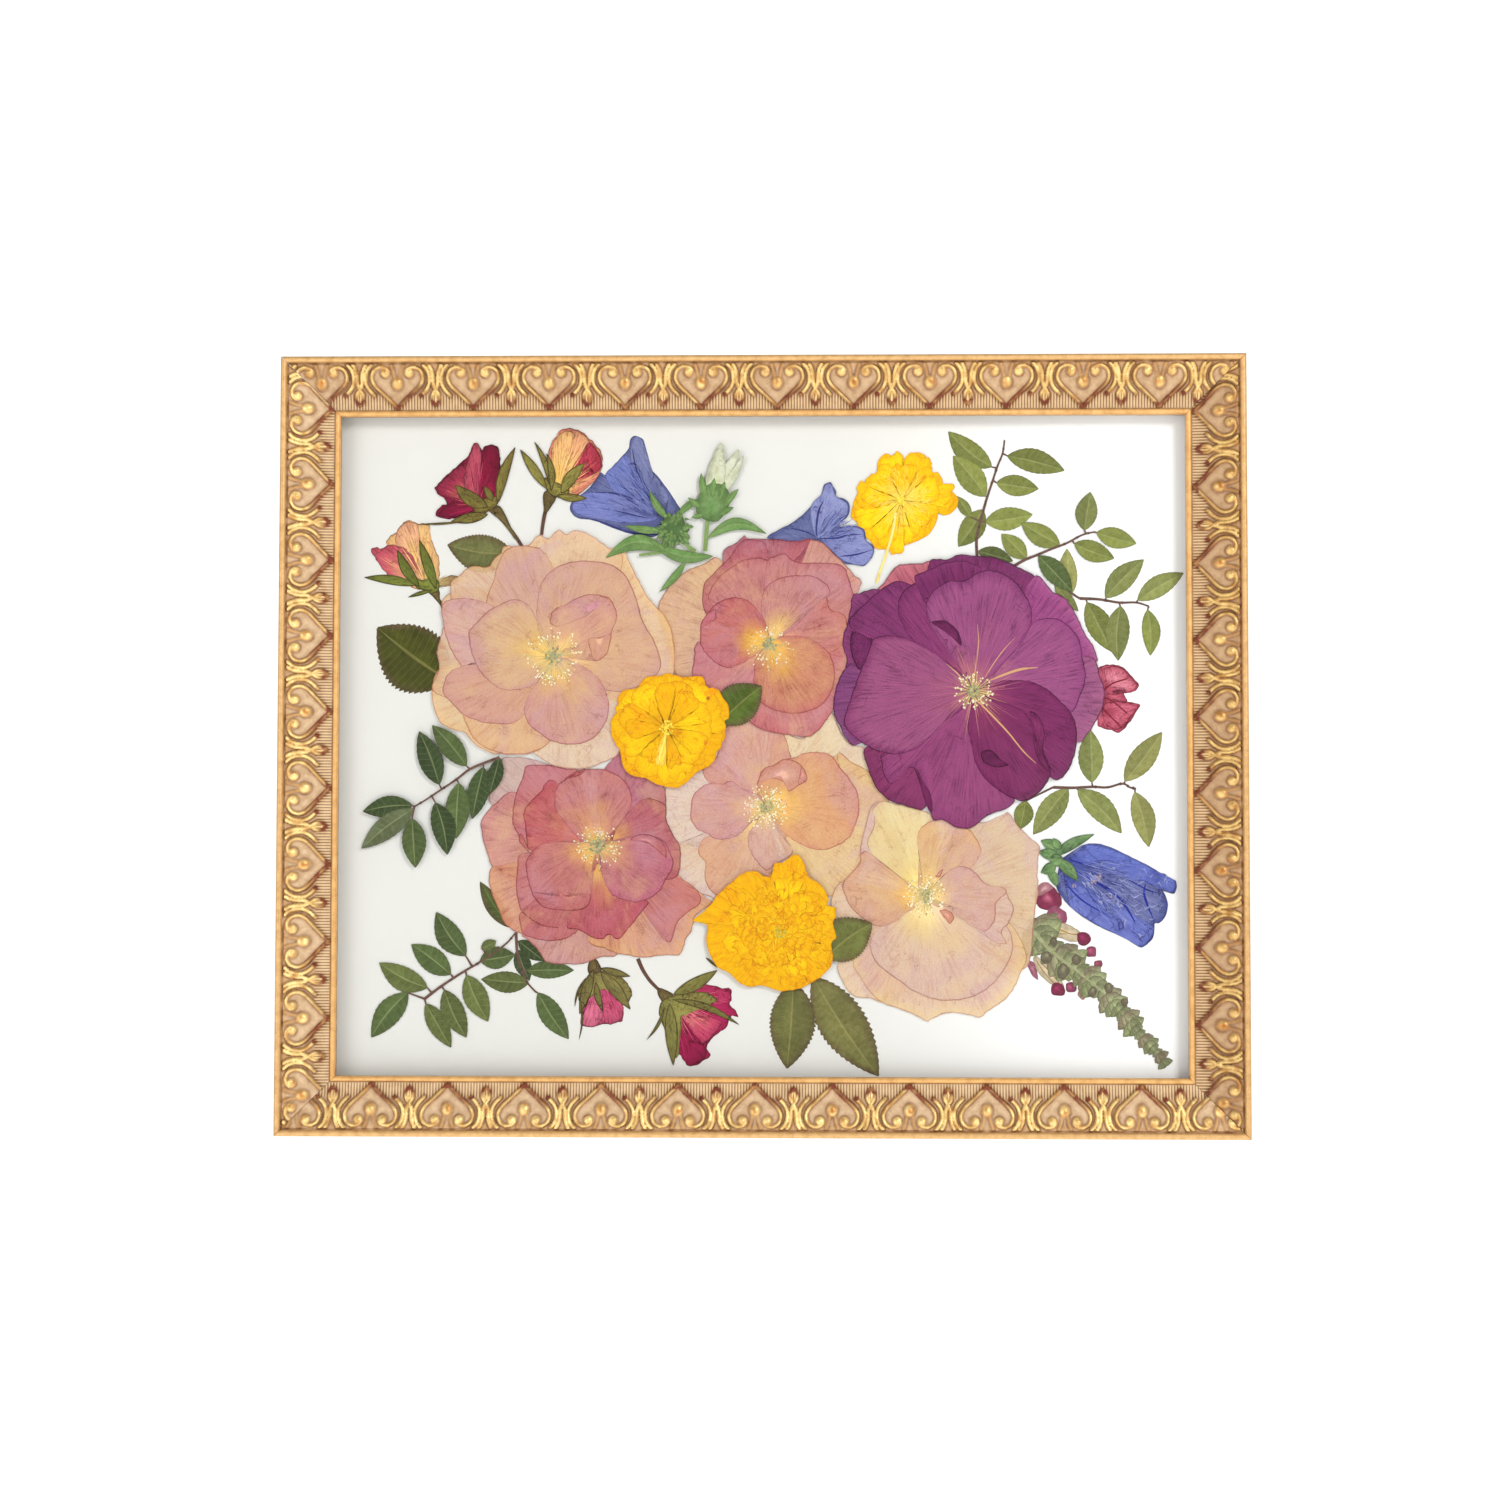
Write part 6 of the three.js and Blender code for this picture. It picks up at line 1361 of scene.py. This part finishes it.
# Five rosebuds with their stems, pressed from the side and glued down. Petals wrap up from a small
# dark hip, and narrow green sepals with long thin tips lie over their base.
BUD_TISSUE = petal_material("bud_petals", 0.0, linear(176, 96, 110), 0.9, linear(112, 46, 56), 0.8,
                            relief=0.9, roughness=0.6, crease_shade=0.6)
HIP, STEM = rgb(96, 84, 48), rgb(88, 60, 50)
BUDS = {
    "rosebud_crimson": ("petal_crimson", (-116, 98),
        [([(-118, 123.8), (-115.7, 123.3), (-114.5, 120.5), (-113.5, 122.5), (-108.2, 122.3), (-107, 116),
           (-105.5, 108.5), (-108, 100.5), (-113, 96), (-120, 95), (-128, 92.5), (-133.5, 94.5), (-131, 98),
           (-129, 99.5), (-134, 104.5), (-132.5, 107.5), (-128, 111.5), (-123, 116), (-119.5, 119.5)],
          rgb(150, 34, 70), rgb(132, 20, 60)),
         ([(-133, 105), (-128, 111), (-122, 115.5), (-118, 112), (-120, 104), (-127, 101)],
          rgb(192, 104, 90), rgb(148, 42, 70)),
         ([(-118, 123), (-115.6, 122.8), (-115, 118), (-115, 108), (-120, 103), (-122, 110)],
          rgb(150, 44, 72), rgb(176, 74, 94)),
         ([(-113.5, 122), (-108.4, 122), (-107.2, 115), (-106.5, 107), (-112, 102), (-115, 110)],
          rgb(140, 20, 58), rgb(112, 8, 44)),
         ([(-132, 94.5), (-127, 93.2), (-119, 96), (-120, 100), (-128, 99)], rgb(134, 18, 58),
          rgb(114, 10, 48))],
        [((-112, 97.5), (-125.5, 106.5), 3.0), ((-108, 99), (-101, 122), 2.2),
         ((-112, 94.5), (-127, 91.6), 2.2), ((-110, 100), (-113.5, 106), 1.6),
         ((-122, 91.5), (-141, 90.5), 0.5)],
        [[(-112, 96.5), (-108.6, 98.2), (-106, 96.5), (-102.6, 89.5), (-99.2, 83.4), (-101, 84.5),
          (-106, 91)],
         [(-117.5, 97), (-114.5, 100), (-111, 102), (-108, 101.5), (-108, 99.5), (-110, 96.5),
          (-114.5, 94.5), (-117, 94)]], [(-110, 96), (-105, 91), (-100, 84.5), (-97.5, 80.5)],
        rgb(112, 104, 48)),
    "rosebud_peach": ("petal_apricot", (-84, 103),
        [([(-87.5, 118), (-86, 124), (-82, 129), (-78, 129.5), (-74, 128.5), (-70, 125), (-66, 120),
           (-65, 115), (-67, 110), (-71, 105.5), (-76, 101.5), (-80, 101), (-84, 106), (-86.5, 111)],
          rgb(236, 190, 96), rgb(222, 140, 112)),
         ([(-86, 120), (-84, 126), (-80, 129), (-76, 126), (-76, 118), (-80, 108), (-84, 108)],
          rgb(238, 196, 92), rgb(224, 174, 114)),
         ([(-76, 128.6), (-71, 125.3), (-66.4, 119), (-66, 113), (-72, 108), (-77, 110), (-77, 120)],
          rgb(236, 196, 104), rgb(220, 158, 116)),
         ([(-71, 124), (-66.6, 119.5), (-65.4, 114.5), (-68, 111.5), (-71, 116)], rgb(204, 84, 88),
          rgb(176, 56, 76))],
        [((-82, 103), (-72.5, 115.5), 2.6), ((-88, 105), (-98.8, 121), 2.0),
         ((-86, 105), (-93, 124.3), 1.3), ((-83.5, 102), (-71.5, 101), 1.7),
         ((-86, 104), (-88, 119.5), 1.5)],
        [[(-89.2, 103.2), (-86.5, 104.4), (-83.6, 102.8), (-85.4, 98.6), (-88.6, 94.5), (-89.2, 98)],
         [(-89, 108.5), (-87, 109.5), (-84, 107.5), (-80.5, 106), (-78.5, 103.5), (-79.5, 101.5),
          (-83, 101), (-87.5, 103.5)]], [(-87, 100), (-88.6, 95), (-89.5, 90), (-90, 86)],
        rgb(122, 118, 56)),
    "rosebud_red_peach": ("petal_apricot", (-137, 65),
        [([(-153.5, 82), (-152, 85.5), (-148, 88.5), (-146.5, 91.3), (-143.5, 92), (-140.5, 90.8),
           (-136, 90), (-135, 84), (-133, 79), (-131.8, 74), (-133, 66), (-142, 64), (-148, 72)],
          rgb(232, 194, 96), rgb(228, 180, 122)),
         ([(-150, 86), (-146, 91), (-141, 90.5), (-140, 82), (-142, 74), (-148, 76)], rgb(232, 190, 118),
          rgb(222, 166, 126)),
         ([(-159.8, 79.5), (-157.8, 81.5), (-156, 80.5), (-152, 82.3), (-147, 81), (-144, 79), (-142.5, 77),
           (-145, 75), (-144.5, 67), (-150, 67), (-153, 69.5), (-157, 75)], rgb(224, 168, 120),
          rgb(190, 84, 98)),
         ([(-132.5, 66), (-130, 68.6), (-127, 69.6), (-124, 68.8), (-124.3, 66.6), (-127, 65.2),
           (-130, 65)], rgb(150, 132, 82), rgb(168, 142, 96))],
        [((-141, 65.5), (-162.5, 68.7), 2.0), ((-140, 65), (-149, 80), 2.2), ((-133, 64), (-140, 84), 2.2),
         ((-134.5, 63.5), (-144.5, 60.5), 0.9)],
        [[(-137, 63.6), (-134.4, 65), (-131.8, 63.4), (-131.4, 60), (-130.6, 56.6), (-133.6, 60)],
         [(-145.5, 68.5), (-143, 70), (-139.5, 67.5), (-135.5, 68.5), (-132, 67.5), (-132, 63.5),
          (-134.5, 62), (-138.5, 63.5), (-142, 65)]], [(-133.5, 61), (-131, 58), (-130, 55.5)],
        rgb(104, 114, 46)),
    "rosebud_pink": ("petal_crimson", (-66, -92),
        [([(-72.5, -100), (-67, -96), (-62, -96), (-57, -101), (-55.8, -105), (-56, -111), (-58, -112),
           (-64, -113), (-68, -113.8), (-72.7, -113.5), (-73, -109)], rgb(176, 50, 98), rgb(188, 76, 112)),
         ([(-72.5, -113), (-66, -113.3), (-64, -106), (-66, -97), (-70, -101)], rgb(172, 46, 92),
          rgb(206, 104, 134)),
         ([(-63, -112.6), (-56.6, -111), (-56.3, -104), (-60, -98), (-64, -102)], rgb(172, 50, 94),
          rgb(184, 78, 108))],
        [((-68, -91), (-73.5, -109), 2.2), ((-65, -92), (-53, -107), 2.6),
         ((-65, -90.5), (-53, -93.7), 1.6), ((-67, -96), (-64, -108), 1.5),
         ((-73, -104), (-73.8, -119.5), 0.4), ((-72.5, -96), (-75.5, -106), 0.5)],
        [[(-70, -88.2), (-67.5, -86.6), (-65.4, -89), (-65, -92.4), (-69.8, -92.6)],
         [(-69.5, -93), (-64, -91.5), (-57, -94), (-52.5, -99.5), (-54, -104), (-59.5, -100), (-64.5, -99),
          (-69.5, -102), (-73, -104.5), (-74, -99)]], [(-67.5, -88.5), (-68, -86.5), (-68, -85)],
        rgb(112, 106, 58)),
    "rosebud_red": ("petal_crimson", (-37, -103),
        [([(-26, -96), (-18, -98.5), (-12, -99), (-12.8, -105), (-10, -107.5), (-9.5, -110), (-12, -109.5),
           (-14, -114), (-19, -118), (-22, -122.5), (-20.5, -125.5), (-24, -128), (-29, -130.3),
           (-31, -127), (-33.5, -124), (-32, -118), (-34, -108), (-33, -101)], rgb(178, 48, 92),
          rgb(158, 26, 78)),
         ([(-31, -112), (-24, -110), (-16, -112), (-19, -117), (-24, -121), (-30, -120)],
          rgb(222, 136, 128), rgb(186, 62, 98)),
         ([(-32, -121), (-24, -121), (-22, -125), (-25, -128), (-29, -129.8), (-32.6, -125)],
          rgb(160, 30, 76), rgb(140, 18, 66)),
         ([(-31, -100), (-24, -97), (-13, -99.6), (-13.5, -104.5), (-22, -104), (-30, -103)],
          rgb(216, 124, 126), rgb(170, 42, 88))],
        [((-35.5, -101), (-17.8, -91.2), 2.6), ((-36, -103), (-9, -113), 1.5),
         ((-37, -104.5), (-35.5, -129.5), 2.6), ((-39, -106), (-46.3, -119.3), 0.7),
         ((-22.5, -86), (-17.7, -90.2), 0.5)],
        [[(-35.6, -101), (-38.4, -99.2), (-41.6, -98.4), (-41.8, -101), (-38.8, -105.4), (-36.2, -103.6)],
         [(-40.5, -104), (-33.5, -101), (-22.5, -100), (-18, -103.5), (-27.5, -106), (-32.5, -109.5),
          (-33, -118.5), (-34, -127), (-37.5, -119.5), (-41, -109.5)]],
        [(-50, -86.5), (-48, -91), (-45, -95.5), (-41, -99.5)], rgb(116, 114, 58))}
for node, (slot, root, petals, sepals, hips, stem, green) in BUDS.items():
    bud = Pressing()
    bud.level += 1
    curve = smooth_curve(stem, 5)
    bud.thread(curve, np.linspace(1.7, 1.3, len(curve)), STEM)
    for outline, inner, outer in petals:
        bud.sheet(outline, root, inner, outer, outer * 0.62, blush=0.66, veins=0.45, torn=0.6)
    draw = random.Random(len(node))
    for outline, inner, outer in petals:
        for k in range(22):
            end = np.array(outline[draw.randrange(len(outline))]) + (draw.uniform(-2, 2), draw.uniform(-2, 2))
            first, last = draw.uniform(0.15, 0.5), draw.uniform(0.6, 0.86)
            path = [root + (end - root) * t + (draw.uniform(-0.3, 0.3), draw.uniform(-0.3, 0.3))
                    for t in (first, (first + last) / 2, last)]
            bud.thread(path, (0.08, draw.uniform(0.12, 0.34), 0.05),
                       (inner + outer) * (0.3 if k % 2 else 0.68), draw.uniform(0, 1))
    for k, outline in enumerate(hips):
        tone = (HIP, green * 1.15)[k]
        bud.sheet(outline, np.mean(outline, 0), tone * 1.3, tone, tone * 0.75, rings=5, torn=0.1 + 0.5 * k)
    for base, tip, width in sepals:
        bud.leaf(base, tip, width, green * draw.uniform(0.7, 0.9), green * draw.uniform(1.0, 1.25),
                 draw.uniform(-0.08, 0.08))
    bud.press("pressed_" + node, node, BUD_TISSUE)

# A small red floret, crumpled before it was pressed, and glued down beside the purple rose. Its
# petals are faded pink with dark ribs.
floret = Pressing()
floret.sheet([(136, 30.5), (139, 32.5), (143, 32.7), (146.5, 31.8), (149, 29), (151.5, 26.5), (152.7, 23.8),
              (150, 21.3), (147, 22.2), (145.5, 24), (146.5, 21), (148.3, 18.5), (147, 16.5), (150, 17),
              (153.3, 16.8), (151, 12), (148, 8), (145, 5.2), (141.5, 6), (138, 7), (136, 9), (135.5, 20)],
             (138, 20), rgb(150, 56, 80), rgb(186, 90, 112), rgb(150, 54, 78), torn=0.5)
floret.sheet([(139, 31), (144, 32), (148.5, 29), (152, 24.3), (149.5, 22), (146, 23.5), (141, 24)], (140, 24),
             rgb(170, 74, 96), rgb(204, 122, 138), rgb(160, 62, 86), torn=0.5)
floret.sheet([(139, 17), (146, 17.5), (152.6, 16.5), (150, 12), (146, 7), (141.5, 7), (138.5, 10)], (139, 14),
             rgb(146, 52, 74), rgb(188, 94, 114), rgb(150, 54, 76), torn=0.5)
for path in ([(137, 20), (142, 18), (148, 13)], [(137, 21), (142, 25), (148, 27)],
             [(138, 15), (142, 11), (145, 8)]):
    floret.strand(path, 0.55, rgb(118, 28, 48))
floret.press("pressed_red_floret", "red_floret", BUD_TISSUE)

# The bellflowers' leafy spray, one shoot with a closed cream bud, hairy green calyces and narrow
# leaves. It is pressed whole and glued over the left bellflower's foot.
def lobed(x, z, radii, last_angle, narrow=1.0):
    """An outline round a point, with a corner at each radius."""
    return [(x + narrow * r * math.cos(a), z + r * math.sin(a))
            for a, r in zip(np.linspace(0, last_angle, len(radii)), radii)]


spray = Pressing()
GRASS, HAIR = rgb(92, 130, 68), rgb(126, 160, 96)
for path, width in (([(-32, 84), (-30, 81), (-27, 79)], 1.6), ([(-22, 92), (-22.6, 86), (-23, 79)], 1.7),
                    ([(-50, 77.5), (-42, 78.5), (-34, 79.5)], 1.1)):
    spray.strand(path, width, rgb(122, 148, 88))
for base, tip, width, bend in (((-38, 92), (-46, 104), 1.5, 0.05), ((-40, 87.5), (-56, 89.5), 1.6, 0.03),
                               ((-38, 79), (-63.5, 76.5), 3.3, -0.2), ((-20, 77), (-46, 84), 2.6, 0.12),
                               ((-31, 75), (-41.5, 62.5), 1.6, 0.04), ((-34, 94), (-25.5, 100.5), 1.5, 0.04),
                               ((-22, 84.5), (1.8, 86.2), 2.6, 0.2)):
    spray.leaf(base, tip, width, GRASS, HAIR, bend)
CALYX = (-36, 88)
spray.sheet(lobed(*CALYX, (6.4, 5.4, 6.6, 5.2, 6.2, 5.4, 6.4, 5.0, 6.4, 5.6, 6.2, 5.2), 5.7), CALYX,
            rgb(78, 108, 62), rgb(92, 124, 72), rgb(70, 98, 58), rings=6)
draw = random.Random(41)
for k in range(70):
    angle, reach = draw.uniform(0, 2 * math.pi), 6.3 * draw.random() ** 0.5
    x, z = CALYX[0] + reach * math.cos(angle), CALYX[1] + reach * 0.95 * math.sin(angle)
    tip = (x + draw.uniform(1.6, 3.2) * math.cos(angle + draw.uniform(-0.8, 0.8)),
           z + draw.uniform(1.6, 3.2) * math.sin(angle + draw.uniform(-0.8, 0.8)))
    spray.leaf((x, z), tip, draw.uniform(0.5, 0.9), GRASS * draw.uniform(0.7, 1.0),
               HAIR * draw.uniform(0.8, 1.4), rows=6)
for outline in ([(-22.5, 106), (-22, 112), (-17.5, 123), (-15.5, 121), (-15.4, 112), (-16, 105)],
                [(-19, 105), (-16, 113), (-10.2, 120.3), (-9.3, 118.8), (-11.5, 112), (-14, 104.5)],
                [(-17, 105), (-12, 112), (-7.8, 118), (-7.6, 116), (-10, 109), (-14, 104)],
                [(-22, 106), (-20.6, 114), (-17.6, 121.5), (-15.4, 118), (-15, 110), (-17, 104)]):
    spray.sheet(outline, (-18.5, 104), rgb(206, 214, 168), rgb(234, 236, 212), rgb(196, 204, 176),
                rings=5, veins=0.4)
spray.sheet([(-27, 97), (-24.5, 104), (-20, 107), (-14.5, 105), (-13, 100), (-16, 93), (-20, 91), (-25, 93)],
            (-21, 95), rgb(96, 134, 74), rgb(126, 160, 100), rgb(80, 116, 62), rings=6)
for base, tip, width in (((-22.5, 100), (-24.8, 111), 1.5), ((-20, 101), (-19.3, 109), 1.4),
                         ((-17, 100), (-15, 107.5), 1.4), ((-15.5, 97), (-9.5, 104.5), 1.5),
                         ((-25, 97), (-30, 101), 1.3), ((-17, 94), (-11.5, 97), 1.3),
                         ((-24, 94), (-28.5, 93), 1.2)):
    spray.leaf(base, tip, width, GRASS, HAIR, 0.03)
spray.press("pressed_bellflower_spray", "bellflower_spray", SPRIG_LEAF)

# A flower spike, pressed whole and glued down at the lower right. Paired grey-green bracts close
# over each other along its stem, with faded magenta and cream florets at its base.
spike = Pressing()
axis = smooth_curve([(108, -74), (110.5, -76), (115.5, -81.5), (120.5, -86), (126, -90), (131, -94),
                     (136, -98), (140.5, -102.5), (144.5, -107), (148.5, -111.5), (152.5, -116.5),
                     (157, -121.5), (160.5, -125), (163, -129)], 5)
draw = random.Random(77)
MAGENTA, BLUSH, CREAM = rgb(152, 46, 90), rgb(204, 138, 154), rgb(228, 208, 178)
FADED_FLORETS = (
    ([(110.5, -60), (112, -57), (115, -55.5), (118.5, -57.5), (121, -61), (121, -65), (118, -67),
      (114, -66.5), (111, -64)], rgb(206, 120, 146), MAGENTA),
    ([(111, -61), (111.5, -57), (115, -55.5), (118, -57.5), (115, -59.5)], rgb(228, 196, 196), BLUSH),
    ([(116, -66.5), (119, -65), (122.5, -67), (123.5, -70.5), (121, -73), (117, -72.5), (114.5, -70)],
     BLUSH, rgb(176, 88, 126)),
    ([(113, -70.5), (118, -71.5), (123, -72), (127.5, -74.5), (130.5, -78), (126, -79.5), (120, -77.5),
      (115, -75)], rgb(206, 186, 140), CREAM),
    ([(110, -85), (113.5, -86.5), (117.5, -90), (121, -94.5), (122, -98), (118, -97.5), (114, -94),
      (110.5, -90)], rgb(210, 196, 160), CREAM),
    ([(107, -87), (110, -88), (111.5, -92), (111.5, -95), (109, -92.5)], BLUSH, rgb(184, 110, 140)))
for outline, inner, outer in FADED_FLORETS:
    spike.sheet(outline, np.mean(outline, 0), inner, outer, outer * 0.7, rings=6, torn=0.5, steps=4)
for path in ([(115, -73.2), (119, -73.6), (124, -76), (128, -76.4)], [(114, -74.4), (119, -76), (123, -76.2)],
             [(111, -87), (114, -91.5), (118, -96)], [(113, -88), (117, -92), (120.5, -96.5)]):
    spike.strand(path, 0.35, rgb(148, 108, 52))
for x, z, size, colour in ((130, -78, 2.8, MAGENTA), (133.2, -83.4, 2.2, rgb(164, 76, 112)),
                           (135.8, -88.4, 1.8, rgb(170, 78, 108)), (119.8, -98.4, 2.9, MAGENTA),
                           (124.8, -97.8, 2.1, rgb(160, 72, 108)), (129.6, -100.6, 1.9, rgb(208, 156, 152)),
                           (137.2, -105.6, 1.3, rgb(206, 164, 156))):
    spike.sheet(lobed(x, z, [size * draw.uniform(0.85, 1.2) for k in range(8)], 5.5),
                (x - size * 0.4, z + size * 0.3), colour * 1.5, colour, colour * 0.6,
                rings=5, torn=0.2, steps=3)
BRACT_PAIRS = 26
for k in range(BRACT_PAIRS):
    t = (k / (BRACT_PAIRS - 1)) ** 0.82
    at = int(t * (len(axis) - 4))
    centre = axis[at]
    ahead = axis[at + 3] - centre
    forward = math.atan2(ahead[1], ahead[0])
    reach = (11 - 7.4 * t) * (1.12 if k % 4 < 2 else 0.74)
    for side in (-1, 1):
        for fold in range(2):
            angle = forward + side * (1.12 - 0.42 * fold - 0.1 * t) + draw.uniform(-0.14, 0.14)
            end = around(centre, reach * (1 - 0.12 * fold) * draw.uniform(0.85, 1.08), angle)
            tone = draw.uniform(0.72, 1.18)
            spike.leaf(centre, end, reach * 0.4, rgb(134, 144, 98) * tone, rgb(196, 200, 156) * tone,
                       -side * 0.18, teeth=3, edge=rgb(108, 112, 82) if k % 4 else rgb(120, 92, 90), rows=10,
                       notch=0.09)
spike.level += 1
spike.thread(axis[:34], np.linspace(1.9, 0.5, 34), rgb(158, 160, 122))
for x, z, size in ((115, -85.8, 2.8), (121.8, -91, 3.2), (127, -86.5, 2.2), (133.5, -99.5, 2.2),
                   (140, -97.8, 2.3), (118, -79.5, 2.0), (146.5, -103.5, 1.8)):
    spike.sheet(lobed(x, z, [size * draw.uniform(0.85, 1.1) for k in range(8)], 5.5, 0.8),
                (x + 0.3, z + size * 0.5), rgb(150, 154, 118), rgb(130, 126, 100), rgb(110, 96, 84),
                rings=6, torn=0.2, steps=3)
spike.press("pressed_flower_spike", "flower_spike", SPRIG_LEAF)

size = {"cad": [list(corner) for corner in cad_box], "visual": [list(corner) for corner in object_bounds()]}
